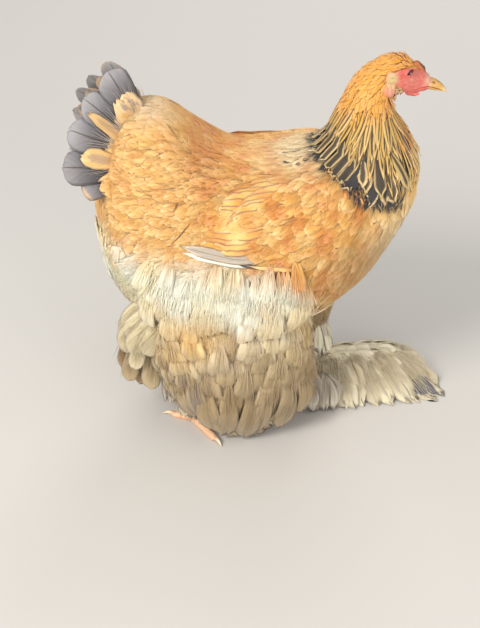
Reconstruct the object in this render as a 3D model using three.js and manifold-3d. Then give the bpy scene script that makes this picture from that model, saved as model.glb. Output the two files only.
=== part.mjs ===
// A life-size standing Brahma hen: buff body, slate-centred hackle and tail, feathered feet.
// Millimetres. +X runs from tail to beak, +Y to the hen's left side and +Z up. The hen stands on z = 0,
// with her box centred over the origin. Every form comes from the named sizes below.
import * as THREE from "three";
import { mergeVertices } from "three/addons/utils/BufferGeometryUtils.js";
import Module from "manifold-3d";

const wasm = await Module();
wasm.setup();
const vec = (x, y, z) => new THREE.Vector3(x, y, z);

// Driving sizes

const gap = 0.35; // air kept between neighbouring nodes
const vaneThick = 0.9; // a feather blade in the solids
const ringSides = 18; // facets round the torso
const jitterSeed = 7;
const feathered = true; // false leaves each feathered form plain

// Torso sections: x, lowest and highest point, half width. The back dips before the cushion.
const torsoStations = [
  { x: -166, low: 246, high: 300, half: 30 },
  { x: -160, low: 206, high: 334, half: 56 },
  { x: -145, low: 170, high: 372, half: 80 },
  { x: -120, low: 144, high: 390, half: 97 },
  { x: -90, low: 140, high: 387, half: 108 },
  { x: -60, low: 134, high: 366, half: 114 },
  { x: -30, low: 128, high: 345, half: 115 },
  { x: 0, low: 126, high: 333, half: 115 },
  { x: 35, low: 126, high: 333, half: 112 },
  { x: 70, low: 130, high: 340, half: 106 },
  { x: 105, low: 144, high: 346, half: 95 },
  { x: 135, low: 167, high: 346, half: 82 },
  { x: 165, low: 203, high: 338, half: 64 },
  { x: 187, low: 240, high: 326, half: 44 },
  { x: 200, low: 270, high: 308, half: 20 },
];
const torsoRise = { squareness: 2.25 }; // 2 is an ellipse, more is boxier

// Neck and cape sections: z, back and front x, half width
const neckStations = [
  { z: 282, back: 106, front: 194, half: 64 },
  { z: 305, back: 94, front: 202, half: 71 },
  { z: 330, back: 92, front: 202, half: 66 },
  { z: 355, back: 94, front: 193, half: 53 },
  { z: 380, back: 101, front: 177, half: 39 },
  { z: 402, back: 112, front: 170, half: 29 },
  { z: 422, back: 124, front: 170, half: 22 },
  { z: 437, back: 139, front: 170, half: 17 },
];

// Head, in its own frame: origin mid skull, x along the beak, pitched down
const headPlace = { x: 172, z: 428, pitchDeg: 9 };
const headStations = [
  { x: -26, mid: -1, tall: 11, half: 10 },
  { x: -19, mid: -1, tall: 18, half: 15.5 },
  { x: -8, mid: -1.5, tall: 22.5, half: 18.5 },
  { x: 3, mid: -2.5, tall: 22.5, half: 18.5 },
  { x: 13, mid: -3.5, tall: 20, half: 16.5 },
  { x: 22, mid: -5, tall: 16.5, half: 13.2 },
  { x: 30, mid: -6.5, tall: 12.5, half: 10 },
  { x: 36, mid: -7.5, tall: 9.5, half: 7.8 },
];
const eye = { x: 11.5, side: 15.6, z: 6.5, radius: 5.2 };
const mask = { back: -5, brow: 13.4 };
const beak = { base: 36.5, length: 24, deep: 8.6, half: 7.2, droop: 7 };
const comb = { start: 9, end: 31, bumps: 4, radius: 4.2 };

// Wing: its outline on the torso's side, as section angles in degrees at each x
const wingStations = [
  { x: -22, low: 4, high: 46 },
  { x: 0, low: 2, high: 60 },
  { x: 40, low: 0, high: 66 },
  { x: 85, low: -7, high: 60 },
  { x: 122, low: -4, high: 46 },
  { x: 142, low: 8, high: 30 },
];
const wingThick = 11;

// Tail: a tented fan. Roots and tips of one side's blades, from the highest to the lowest.
const tailCount = 6;
const tailRoots = [
  [0, vec(-104, 9, 352)],
  [0.5, vec(-112, 30, 338)],
  [1, vec(-118, 46, 316)],
];
const tailTips = [
  [0, vec(-143, 10, 436)],
  [0.25, vec(-167, 30, 413)],
  [0.5, vec(-186, 52, 382)],
  [0.75, vec(-194, 70, 347)],
  [1, vec(-172, 78, 316)],
];
const tailBlade = { width: 40 };

// Legs: where each foot stands, the heading of its middle toe, and its feather fan, which
// hangs from a ridge along the toes. Fan places are x, y, z.
const legs = {
  right: {
    side: -1,
    x: -56,
    y: -60,
    heading: -12,
    outerTurn: 46,
    thigh: -20,
    ridge: [[-52, -62, 46], [-20, -52, 46], [14, -42, 36], [40, -30, 22]],
    tips: [[-44, -93, 1], [-14, -99, 1], [18, -90, 1], [42, -66, 1], [56, -38, 1], [58, -8, 1]],
    far: [[-84, -18, 1], [-40, -4, 1], [4, 2, 1], [36, 4, 1]],
  },
  left: {
    side: 1,
    x: 98,
    y: 42,
    heading: 5,
    outerTurn: 32,
    thigh: 27,
    ridge: [[104, 34, 34], [134, 40, 32], [172, 48, 30], [202, 52, 22]],
    tips: [[92, -24, 1], [112, -42, 1], [140, -38, 1], [172, -30, 1], [204, -27, 1], [235, 6, 1]],
    far: [[92, 82, 1], [130, 90, 1], [176, 90, 1], [218, 70, 1]],
  },
};
const shank = { radius: 6.6, top: 78 };
const shankFoot = 11; // where a shank meets the toes
const toes = [
  { name: "inner", turn: -34, length: 46, thick: 9.5 },
  { name: "middle", turn: 0, length: 64, thick: 10.5 },
  { name: "outer", turn: null, length: 50, thick: 9.5 },
  { name: "hind", turn: 186, length: 25, thick: 8.5 },
];
const claw = { length: 13, base: 3.1 };

// Colours

const finish = (colour, roughness) =>
  new THREE.MeshStandardMaterial({ color: colour, roughness, metalness: 0 });
const buff = finish(0xeab066, 0.85);
const cream = finish(0xe9d9b4, 0.9);
const slate = finish(0x77747c, 0.8);
const hackleTone = finish(0xd9a95a, 0.8);
const redSkin = finish(0xd9685c, 0.6);
const paleLobe = finish(0xe4c3a0, 0.7);
const horn = finish(0xe2b45c, 0.45);
const scaled = finish(0xe2b07c, 0.6);
const eyeTone = finish(0x4a1c08, 0.15);

// Small tools

const lerp = THREE.MathUtils.lerp;
const rad = THREE.MathUtils.degToRad;

function randomSource(seed) {
  let state = seed;
  return () => {
    state = (state * 1664525 + 1013904223) % 4294967296;
    return state / 4294967296;
  };
}
const random = randomSource(jitterSeed);
const vary = (amount) => 1 + (random() - 0.5) * 2 * amount;

// A smooth curve through [place, value] pairs, with slopes averaged from both sides.
function fair(pairs) {
  const slope = pairs.map((p, i) => {
    const a = pairs[Math.max(0, i - 1)];
    const b = pairs[Math.min(pairs.length - 1, i + 1)];
    return (b[1] - a[1]) / (b[0] - a[0]);
  });
  return (at) => {
    let i = pairs.findIndex((p) => p[0] > at) - 1;
    if (i === -2) i = pairs.length - 2;
    if (i < 0) i = 0;
    const [x0, y0] = pairs[i];
    const [x1, y1] = pairs[i + 1];
    const wide = x1 - x0;
    const t = THREE.MathUtils.clamp((at - x0) / wide, 0, 1);
    const a = (1 + 2 * t) * (1 - t) ** 2 * y0 + t * t * (3 - 2 * t) * y1;
    const b = t * (1 - t) ** 2 * slope[i] + t * t * (t - 1) * slope[i + 1];
    return a + b * wide;
  };
}

// A smooth path through [place, point] pairs.
function fairPath(pairs) {
  const curves = ["x", "y", "z"].map((k) => fair(pairs.map(([at, p]) => [at, p[k]])));
  return (at) => vec(curves[0](at), curves[1](at), curves[2](at));
}

// The same through evenly placed [x, y, z] triples.
function evenPath(triples) {
  const last = triples.length - 1;
  return fairPath(triples.map(([x, y, z], i) => [i / last, vec(x, y, z)]));
}

// Reads a table of stations as one smooth function for each of its keys.
function fairStations(stations, placeKey) {
  const keys = Object.keys(stations[0]).filter((k) => k !== placeKey);
  const curves = keys.map((k) => fair(stations.map((s) => [s[placeKey], s[k]])));
  return (at) => Object.fromEntries(keys.map((k, i) => [k, curves[i](at)]));
}

function solidFrom(points, faces) {
  const positions = new Float32Array(points.flatMap((p) => [p.x, p.y, p.z]));
  let volume = 0;
  for (const [a, b, c] of faces) {
    volume += points[a].dot(points[b].clone().cross(points[c]));
  }
  const turned = volume < 0 ? faces.map(([a, b, c]) => [a, c, b]) : faces;
  const mesh = new wasm.Mesh({
    numProp: 3,
    vertProperties: positions,
    triVerts: new Uint32Array(turned.flat()),
  });
  return new wasm.Manifold(mesh);
}

// Turns a three.js geometry into a solid.
function solidOf(geometry) {
  const bare = new THREE.BufferGeometry();
  bare.setAttribute("position", geometry.getAttribute("position"));
  if (geometry.index) bare.setIndex(geometry.index);
  const merged = mergeVertices(bare, 1e-4);
  const mesh = new wasm.Mesh({
    numProp: 3,
    vertProperties: merged.attributes.position.array,
    triVerts: new Uint32Array(merged.index.array),
  });
  return new wasm.Manifold(mesh);
}

// A closed body through equal rings of points, with a point closing each end.
function loft(rings) {
  const sides = rings[0].length;
  const points = rings.flat();
  const faces = [];
  for (let i = 0; i + 1 < rings.length; i++) {
    for (let k = 0; k < sides; k++) {
      const a = i * sides + k;
      const b = i * sides + ((k + 1) % sides);
      faces.push([a, b, b + sides], [a, b + sides, a + sides]);
    }
  }
  const middle = (ring) =>
    ring.reduce((sum, p) => sum.add(p), vec(0, 0, 0)).divideScalar(sides);
  const first = points.length;
  points.push(middle(rings[0]), middle(rings[rings.length - 1]));
  const last = (rings.length - 1) * sides;
  for (let k = 0; k < sides; k++) {
    faces.push([first, (k + 1) % sides, k]);
    faces.push([first + 1, last + k, last + ((k + 1) % sides)]);
  }
  return solidFrom(points, faces);
}

const places = (from, to, count) =>
  Array.from({ length: count }, (_, i) => lerp(from, to, i / (count - 1)));

// Round or boxy closed curve: one unit ring point at an angle.
function ringPoint(angle, squareness) {
  const power = 2 / squareness;
  const c = Math.cos(angle);
  const s = Math.sin(angle);
  return [Math.sign(c) * Math.abs(c) ** power, Math.sign(s) * Math.abs(s) ** power];
}

const ringAngles = (sides) => places(0, 2 * Math.PI, sides + 1).slice(0, -1);

// The forms that feathers lie on

const torsoAt = fairStations(torsoStations, "x");
const neckAt = fairStations(neckStations, "z");
const wingAt = fairStations(wingStations, "x");

// A point of the torso's surface at x and a section angle, moved out by height.
function onTorso(x, angle, height = 0) {
  const s = torsoAt(x);
  const [c, n] = ringPoint(angle, torsoRise.squareness);
  const tall = (s.high - s.low) / 2;
  return vec(x, c * (s.half + height), (s.high + s.low) / 2 + n * (tall + height));
}

// The point over the torso at a height, found from any point near it.
function drapeTorso(p, height) {
  const first = torsoStations[0].x + 4;
  const last = torsoStations[torsoStations.length - 1].x - 4;
  const x = THREE.MathUtils.clamp(p.x, first, last);
  const s = torsoAt(x);
  const tall = (s.high - s.low) / 2;
  const mid = (s.high + s.low) / 2;
  const n = torsoRise.squareness;
  const reach = Math.abs(p.y / s.half) ** n + Math.abs((p.z - mid) / tall) ** n;
  const scale = 1 / reach ** (1 / n);
  const surface = vec(p.x, p.y * scale, mid + (p.z - mid) * scale);
  const out = vec(0, surface.y, surface.z - mid).normalize();
  return surface.addScaledVector(out, height);
}

// The same over the neck, whose sections are level.
function drapeNeck(p, height) {
  const z = THREE.MathUtils.clamp(p.z, neckStations[0].z, 437);
  const s = neckAt(z);
  const mid = (s.front + s.back) / 2;
  const deep = (s.front - s.back) / 2;
  const reach = Math.hypot((p.x - mid) / deep, p.y / s.half);
  const surface = vec(mid + (p.x - mid) / reach, p.y / reach, p.z);
  const out = vec(surface.x - mid, surface.y, 0).normalize();
  return surface.addScaledVector(out, height);
}

function insideTorso(p, margin) {
  if (p.x < torsoStations[0].x || p.x > torsoStations[torsoStations.length - 1].x) {
    return false;
  }
  const s = torsoAt(p.x);
  const tall = (s.high - s.low) / 2 + margin;
  const mid = (s.high + s.low) / 2;
  const n = torsoRise.squareness;
  const across = Math.abs(p.y / (s.half + margin)) ** n;
  return across + Math.abs((p.z - mid) / tall) ** n < 1;
}

// Feather blades

// Half widths along a blade: a rounded body feather, a lance-shaped hackle and a slim quill.
const outlines = {
  round: fair([[0, 0.35], [0.33, 0.92], [0.67, 1], [0.85, 0.84], [1, 0.4]]),
  lance: fair([[0, 0.5], [0.33, 1], [0.67, 0.82], [1, 0.12]]),
  quill: fair([[0, 0.6], [0.4, 1], [0.8, 0.86], [1, 0.22]]),
};

// A thin closed blade through centre points, with its side directions and half widths.
// Both faces are split along the same diagonals, so that they can't cross.
function blade(centres, sides, halves, outs, thick = vaneThick) {
  const points = [];
  centres.forEach((c, i) => {
    const thin = thick * (i === centres.length - 1 ? 0.3 : 0.5);
    for (const [across, over] of [[-1, 1], [1, 1], [1, -1], [-1, -1]]) {
      const p = c.clone().addScaledVector(sides[i], across * halves[i]);
      points.push(p.addScaledVector(outs[i], over * thin));
    }
  });
  const faces = [];
  const quad = (a, b, c, d) => faces.push([a, b, c], [a, c, d]);
  for (let i = 0; i + 1 < centres.length; i++) {
    const a = 4 * i;
    const b = a + 4;
    quad(a, a + 1, b + 1, b); // top face, split from near left to far right
    quad(a + 3, b + 3, b + 2, a + 2); // underside, turned over
    faces[faces.length - 2] = [a + 3, b + 2, a + 2];
    faces[faces.length - 1] = [a + 3, b + 3, b + 2];
    quad(a + 1, a + 2, b + 2, b + 1);
    quad(a + 3, a, b, b + 3);
  }
  const end = 4 * (centres.length - 1);
  quad(0, 3, 2, 1);
  quad(end, end + 1, end + 2, end + 3);
  return solidFrom(points, faces);
}

// A blade that lies over a form: it starts sunk in, then rises slowly along its length.
// Its roll lets neighbours lie over one another like tiles, without crossing.
function laidBlade({ root, along, drape, length, sink, base, rise, steps = 4, ...form }) {
  const centres = places(0, 1, steps + 1).map((t) => {
    const p = root.clone().addScaledVector(along, length * t);
    return drape(p, t === 0 ? -sink : base + rise * t);
  });
  return shapedBlade(centres, (c) => c.clone().sub(drape(c, -30)).normalize(), form);
}

// Gives a line of centres its widths, square to its own run and its outward direction.
function shapedBlade(centres, outOf, { width, outline, roll = 0, thick = vaneThick }) {
  const last = centres.length - 1;
  const sides = [];
  const outs = [];
  centres.forEach((c, i) => {
    const run = centres[Math.min(last, i + 1)].clone().sub(centres[Math.max(0, i - 1)]);
    const side = run.clone().cross(outOf(c)).normalize();
    const out = side.clone().cross(run).normalize();
    sides.push(side.clone().multiplyScalar(Math.cos(roll)).addScaledVector(out, Math.sin(roll)));
    outs.push(out.clone().multiplyScalar(Math.cos(roll)).addScaledVector(side, -Math.sin(roll)));
  });
  const halves = centres.map((c, i) => (width / 2) * outlines[outline](i / last));
  return blade(centres, sides, halves, outs, thick);
}

// A free blade from root to tip that bows outwards, facing a given way.
function freeBlade({ root, tip, facing, bow, steps = 4, ...form }) {
  const run = tip.clone().sub(root);
  const lift = facing.clone().addScaledVector(run, -facing.dot(run) / run.lengthSq());
  lift.normalize();
  const centres = places(0, 1, steps + 1).map((t) => {
    const p = root.clone().addScaledVector(run, t);
    return p.addScaledVector(lift, bow * 4 * t * (1 - t));
  });
  return shapedBlade(centres, () => lift, form);
}

// Joins pieces, and keeps the largest closed body of what a cut leaves.
function join(pieces) {
  return wasm.Manifold.union(pieces);
}

function largest(solid) {
  const bodies = solid.decompose();
  return bodies.reduce((best, b) => (b.volume() > best.volume() ? b : best));
}

function blockOf(low, high) {
  const size = high.clone().sub(low);
  const box = new THREE.BoxGeometry(size.x, size.y, size.z);
  const centre = low.clone().add(high).multiplyScalar(0.5);
  return solidOf(box.translate(centre.x, centre.y, centre.z));
}

const belowFloor = blockOf(vec(-600, -600, -80), vec(600, 600, 0));

// Torso

function torsoSolid(grow) {
  const first = torsoStations[0].x;
  const last = torsoStations[torsoStations.length - 1].x;
  const rings = places(first, last, 17).map((x, i, all) => {
    const end = i === 0 ? -grow : i === all.length - 1 ? grow : 0;
    return ringAngles(ringSides).map((a) => {
      const p = onTorso(x, a, grow);
      p.x += end;
      return p;
    });
  });
  return loft(rings);
}

// Neck, with its hackle in tiers

function neckSolid(grow, flare = 0) {
  const [low, high] = [neckStations[0].z, neckStations[neckStations.length - 1].z];
  const rings = places(low - grow, high + grow, 9).map((z, i) => {
    const s = neckAt(z);
    const wider = grow + flare * (1 - i / 8);
    const mid = (s.front + s.back) / 2;
    const deep = (s.front - s.back) / 2 + wider;
    return ringAngles(18).map((a) => {
      return vec(mid + deep * Math.cos(a), (s.half + wider) * Math.sin(a), z);
    });
  });
  return loft(rings);
}

const hackleTiers = [
  { z: 340, count: 13, length: 64, width: 23, from: 24, to: 336 },
  { z: 361, count: 11, length: 58, width: 19, from: 24, to: 336 },
  { z: 383, count: 10, length: 52, width: 15, from: 20, to: 340 },
  { z: 404, count: 7, length: 42, width: 12, from: 24, to: 336 },
];
const hackleRise = 0.14; // of a blade's length

// The cape drapes on neck, torso or wing, whichever is further out.
function drapeCape(p, height) {
  const onNeck = drapeNeck(p, height);
  const cover = height + capeCover(onNeck);
  return insideTorso(onNeck, cover) ? drapeTorso(onNeck, cover) : onNeck;
}

// How far the wing's shoulder lifts the cape.
function capeCover(p) {
  if (p.x > 156) return 1;
  const a = sectionAngle(p);
  const s = wingAt(Math.min(p.x, 142));
  const degrees = THREE.MathUtils.radToDeg(a);
  const inside = THREE.MathUtils.clamp(Math.min(degrees - s.low, s.high - degrees) / 6 + 1, 0, 1);
  return 1 + inside * (1.2 + wingHeight(Math.min(p.x, 142), a));
}

function hackle() {
  const blades = [];
  for (const tier of hackleTiers) {
    const s = neckAt(tier.z);
    const mid = (s.front + s.back) / 2;
    const deep = (s.front - s.back) / 2;
    for (const degrees of places(tier.from, tier.to, tier.count)) {
      const a = rad(degrees);
      const root = vec(mid + deep * Math.cos(a), s.half * Math.sin(a), tier.z);
      const lean = vec(Math.cos(a) * 0.3 - 0.2, Math.sin(a) * 0.5, -1).normalize();
      const middle = degrees === 180 ? 0 : Math.sign(180 - degrees);
      blades.push(
        laidBlade({
          root,
          along: lean,
          drape: drapeCape,
          length: tier.length * vary(0.06),
          width: tier.width,
          outline: "lance",
          rise: tier.length * hackleRise,
          sink: 3.5,
          base: 0.8,
          roll: middle * 0.06,
          steps: 3,
        }),
      );
    }
  }
  return blades;
}

// Head
// Head

const headAt = fairStations(headStations, "x");
const pitch = rad(headPlace.pitchDeg);

// A point of the head's own frame, in the hen's frame.
function headPoint(x, y, z) {
  return vec(
    headPlace.x + x * Math.cos(pitch) + z * Math.sin(pitch),
    y,
    headPlace.z - x * Math.sin(pitch) + z * Math.cos(pitch),
  );
}

function headSolid(grow) {
  const first = headStations[0].x;
  const last = headStations[headStations.length - 1].x;
  const rings = places(first, last, 10).map((x, i) => {
    const s = headAt(x);
    const shift = i === 0 ? -grow : 0;
    return ringAngles(16).map((a) => {
      const [c, n] = ringPoint(a, 2.15);
      return headPoint(x + shift, c * (s.half + grow), s.mid + n * (s.tall + grow));
    });
  });
  return loft(rings);
}

// The bare face lies below the brow and in front of the ear.
function maskBlock(grow) {
  const box = new THREE.BoxGeometry(90, 90, 60);
  box.translate(45 + mask.back - grow, 0, mask.brow - 30 + grow);
  box.rotateY(pitch).translate(headPlace.x, 0, headPlace.z);
  return solidOf(box);
}

function ballAt(centre, rx, ry, rz, across = 12, down = 8) {
  const ball = new THREE.SphereGeometry(1, across, down);
  ball.rotateX(Math.PI / 2).scale(rx, ry, rz).rotateY(pitch);
  ball.translate(centre.x, centre.y, centre.z);
  return solidOf(ball);
}

function eyeCentre(side) {
  return headPoint(eye.x, side * eye.side, eye.z);
}

// Lids hug the eyeball and leave an almond opening, slanted up towards the ear.
const lid = { radius: 7.2, openX: 6.4, openZ: 3.3, slantDeg: 14 };

function lidSolid(side) {
  const c = eyeCentre(side);
  const outer = ballAt(c, lid.radius * 1.12, lid.radius * 0.86, lid.radius * 0.95, 10, 6);
  const opening = new THREE.SphereGeometry(1, 8, 5);
  opening.rotateX(Math.PI / 2).scale(lid.openX, 6, lid.openZ);
  opening.rotateY(pitch + rad(lid.slantDeg));
  const out = headPoint(eye.x, side * (eye.side + 5), eye.z);
  opening.translate(out.x, out.y, out.z);
  return { outer, opening: solidOf(opening) };
}

// The upper or lower half of the beak: a curved cone with a hooked or short tip.
function beakHalf(upper) {
  const length = upper ? beak.length : beak.length - 5;
  const rings = places(0, 1, 7).map((t) => {
    const shrink = Math.sqrt(1 - t * 0.985) * (1 - 0.25 * t);
    const deep = beak.deep * shrink * (upper ? 1 : 0.62);
    const drop = beak.droop * t ** 1.8 * (upper ? 1 : 0.62);
    const seam = -10.2 - drop;
    return places(0, Math.PI, 8).map((a) => {
      const rise = Math.sin(a) * deep * (upper ? 1 : -1);
      const across = Math.cos(a) * beak.half * shrink;
      const kept = upper ? gap / 2 : -gap / 2;
      return headPoint(beak.base + gap + length * t, across, seam + kept + rise);
    });
  });
  return loft(rings);
}

// A pea comb: three low rows of knobs on one long base over the brow.
function combSolid() {
  const middle = (comb.start + comb.end) / 2;
  const crown = headAt(middle);
  const knobs = [ballAt(headPoint(middle, 0, crown.mid + crown.tall - 1), 13, 8, 3, 10, 5)];
  for (const row of [-1, 0, 1]) {
    places(0, 1, comb.bumps).forEach((t) => {
      const x = lerp(comb.start, comb.end, t);
      const s = headAt(x);
      const radius = comb.radius * (row === 0 ? 1 : 0.72) * (1 - 0.35 * Math.abs(t - 0.45));
      const top = s.mid + s.tall * (row === 0 ? 1 : 0.93);
      const c = headPoint(x, row * 3.5, top + radius * 0.42);
      knobs.push(ballAt(c, radius * 1.15, radius * 0.95, radius, 7, 5));
    });
  }
  return join(knobs);
}

function wattleSolid(side) {
  const c = headPoint(21, side * 6, -22);
  return ballAt(c, 6.4, 2.4, 5.6, 10, 6);
}

function lobeSolid(side) {
  const c = headPoint(-6, side * 17.6, -11);
  return ballAt(c, 5.6, 3.2, 8.2, 10, 6);
}

// Wing

// The wing's outside: the torso's side, thickened most along the wing's middle.
function wingHeight(x, angle) {
  const s = wingAt(x);
  const across = THREE.MathUtils.clamp((THREE.MathUtils.radToDeg(angle) - s.low) / (s.high - s.low), 0, 1);
  const along = THREE.MathUtils.clamp((x - wingStations[0].x) / 164, 0, 1);
  return 1.5 + wingThick * Math.sin(Math.PI * across) ** 0.6 * (0.35 + 0.65 * Math.sin(Math.PI * Math.min(1, along * 0.75 + 0.2)));
}

function sectionAngle(p) {
  const s = torsoAt(p.x);
  const n = torsoRise.squareness;
  const c = Math.abs(p.y / s.half) ** (n / 2);
  const rise = (p.z - (s.high + s.low) / 2) / ((s.high - s.low) / 2);
  return Math.atan2(Math.sign(rise) * Math.abs(rise) ** (n / 2), c);
}

function wingSolid(side, grow = 0) {
  const across = places(0, 1, 7);
  const along = places(wingStations[0].x, wingStations[wingStations.length - 1].x + grow, 8);
  const flip = (p) => vec(p.x, side * p.y, p.z);
  const points = [];
  for (const inner of [false, true]) {
    for (const x of along) {
      const s = wingAt(x);
      for (const t of across) {
        const a = rad(lerp(s.low - grow, s.high + grow, t));
        points.push(flip(onTorso(x, a, inner ? -3 : wingHeight(x, a) + grow)));
      }
    }
  }
  const wide = across.length;
  const layer = wide * along.length;
  const faces = [];
  for (let i = 0; i + 1 < along.length; i++) {
    for (let k = 0; k + 1 < wide; k++) {
      const a = i * wide + k;
      const b = a + wide;
      faces.push([a, a + 1, b + 1], [a, b + 1, b]);
      faces.push([a + layer, b + 1 + layer, a + 1 + layer], [a + layer, b + layer, b + 1 + layer]);
    }
  }
  const wall = (a, b) => faces.push([a, b + layer, b], [a, a + layer, b + layer]);
  for (let k = 0; k + 1 < wide; k++) {
    wall(k + 1 - 1, k + 1);
    wall(layer - wide + k + 1, layer - wide + k);
  }
  for (let i = 0; i + 1 < along.length; i++) {
    wall((i + 1) * wide, i * wide);
    wall(i * wide + wide - 1, (i + 1) * wide + wide - 1);
  }
  return solidFrom(points, faces);
}

const wingTiers = [
  { x: 6, count: 6, length: 64, width: 26, from: 0.14, to: 0.95, drop: 0.3 },
  { x: 42, count: 5, length: 56, width: 29, from: 0.16, to: 0.92, drop: 0.4 },
  { x: 74, count: 5, length: 48, width: 26, from: 0.16, to: 0.88, drop: 0.5 },
];
const wingLay = { base: 0.9, rise: 7, roll: 0.09 };
const primaries = { count: 4, root: 58, length: 128, width: 15, low: -4, step: 4.2, roll: 0.22 };

function drapeWing(p, height) {
  const a = sectionAngle(p);
  const over = wingHeight(Math.max(p.x, wingStations[0].x), a);
  const fade = THREE.MathUtils.clamp(1 - (wingStations[0].x - p.x) / 60, 0.12, 1);
  return drapeTorso(p, height + over * fade);
}

function wingBlades(side) {
  const blades = [];
  const turn = (p) => vec(p.x, side * p.y, p.z);
  const push = (spec) => {
    const drape = (p, h) => turn(drapeWing(turn(p), h));
    blades.push(laidBlade({ drape, outline: "round", sink: 3, steps: 3, ...spec }));
  };
  for (const tier of wingTiers) {
    const s = wingAt(tier.x);
    for (const t of places(tier.from, tier.to, tier.count)) {
      const a = rad(lerp(s.low, s.high, t));
      push({
        root: turn(onTorso(tier.x + 10 * (1 - t), a, 3)),
        along: vec(-1, side * 0.1, -tier.drop * (0.35 + 0.65 * t)).normalize(),
        length: tier.length * vary(0.06),
        width: tier.width * vary(0.05),
        ...wingLay,
        roll: side * wingLay.roll,
      });
    }
  }
  for (let i = 0; i < primaries.count; i++) {
    const a = rad(primaries.low + i * primaries.step);
    push({
      root: turn(onTorso(primaries.root, a, 2)),
      along: vec(-1, 0, 0.17 - 0.012 * i).normalize(),
      length: primaries.length - 6 * i,
      width: primaries.width,
      outline: "quill",
      base: 1,
      rise: 1.5,
      roll: side * primaries.roll,
      steps: 5,
    });
  }
  return blades;
}

// Tail

const tailRoot = fairPath(tailRoots);
const tailTip = fairPath(tailTips);

// A place in the fan: t from the highest blade to the lowest, reach from root to tip.
function tailPlace(side, t, reach) {
  const p = tailRoot(t).lerp(tailTip(t), reach);
  return vec(p.x, side * p.y, p.z);
}

// The fan as one filled body, out to a share of the blades' length.
function tailBody(reach) {
  const rings = places(0, 1, 5).map((r) => {
    const near = places(0, 1, 6).map((t) => tailPlace(1, t, r * reach));
    const far = places(1, 0, 6).map((t) => tailPlace(-1, t, r * reach));
    return [...near, ...far];
  });
  return loft(rings);
}

// Main blades, with shorter coverts over them.
function tailBlades() {
  const blades = [];
  for (const side of [-1, 1]) {
    const facing = vec(0.42, side, 0.5).normalize();
    for (const t of places(0.04, 1, tailCount)) {
      blades.push(
        freeBlade({
          root: tailPlace(side, t, 0.42).addScaledVector(facing, -3),
          tip: tailPlace(side, t, 1),
          facing,
          bow: 3,
          width: tailBlade.width,
          outline: "round",
          roll: side * 0.1,
        }),
      );
    }
    for (const t of places(0.1, 0.84, tailCount - 2)) {
      blades.push(
        freeBlade({
          root: tailPlace(side, t, 0.36).addScaledVector(facing, -2),
          tip: tailPlace(side, t, 0.82).addScaledVector(facing, 7),
          facing,
          bow: 3,
          width: tailBlade.width - 5,
          outline: "round",
          roll: side * 0.1,
        }),
      );
    }
  }
  return blades;
}

// Legs and feet

function thighStations(leg) {
  const x = leg.thigh;
  return [
    { z: 36, x: x + 26, deep: 44, y: 58, wide: 27 },
    { z: 54, x: x + 20, deep: 62, y: 60, wide: 37 },
    { z: 80, x: x + 8, deep: 80, y: 62, wide: 46 },
    { z: 112, x: x + 1, deep: 92, y: 63, wide: 51 },
    { z: 145, x: x - 1, deep: 94, y: 63, wide: 52 },
    { z: 175, x: x + 2, deep: 84, y: 60, wide: 47 },
    { z: 200, x: x + 5, deep: 70, y: 56, wide: 40 },
  ];
}

function thighSolid(leg, grow) {
  const at = fairStations(thighStations(leg), "z");
  const rings = places(36 - grow, 200, 9).map((z) => {
    const s = at(z);
    return ringAngles(16).map((a) => {
      const [c, n] = ringPoint(a, 2.2);
      return vec(s.x + c * (s.deep + grow), leg.side * s.y + n * (s.wide + grow), z);
    });
  });
  return loft(rings);
}

// A tube through centres with widths, flattened by the floor.
function tube(centres, radii, sides = 10, widen = 1) {
  const rings = centres.map((c, i) => {
    const ahead = centres[Math.min(centres.length - 1, i + 1)];
    const behind = centres[Math.max(0, i - 1)];
    const run = ahead.clone().sub(behind).normalize();
    const across = vec(-run.y, run.x, 0);
    if (across.lengthSq() < 0.01) across.set(0, 1, 0);
    across.normalize();
    const over = across.clone().cross(run).normalize();
    return ringAngles(sides).map((a) => {
      return c
        .clone()
        .addScaledVector(across, Math.cos(a) * radii[i] * widen)
        .addScaledVector(over, Math.sin(a) * radii[i]);
    });
  });
  return loft(rings);
}

function shankPlace(leg, t) {
  return vec(leg.x - 4 * t, leg.y + leg.side * 4 * t, lerp(7, shank.top, t));
}

function shankSolid(leg) {
  const centres = places(0, 1, 5).map((t) => shankPlace(leg, t));
  return tube(centres, centres.map((c, i) => shank.radius + (i === 4 ? 1.5 : 0)), 10);
}

function shankGrown(leg) {
  const centres = places(0, 1, 5).map((t) => shankPlace(leg, t));
  centres[0].z = shankFoot - 1.2;
  return tube(centres, centres.map(() => shank.radius + 2 + gap), 10);
}

// A toe turns outwards for plus and inwards for minus.
const toeHeading = (leg, toe) => {
  return rad(leg.heading + leg.side * (toe.turn ?? leg.outerTurn));
};

function toePlan(leg, toe) {
  const heading = toeHeading(leg, toe);
  const run = vec(Math.cos(heading), Math.sin(heading), 0);
  const root = vec(leg.x, leg.y, 0);
  return { run, root };
}

function toeSolid(leg, toe) {
  const { run, root } = toePlan(leg, toe);
  const joints = 5;
  const centres = [];
  const radii = [];
  places(0, 1, joints + 1).forEach((t, i) => {
    const radius = (toe.thick / 2) * (1.1 - 0.28 * t) * (i % 2 ? 1.07 : 0.96);
    const centre = root.clone().addScaledVector(run, 2 + toe.length * t);
    centre.z = radius * 0.86;
    centres.push(centre);
    radii.push(radius);
  });
  return tube(centres, radii, 8, 1.06);
}

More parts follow.
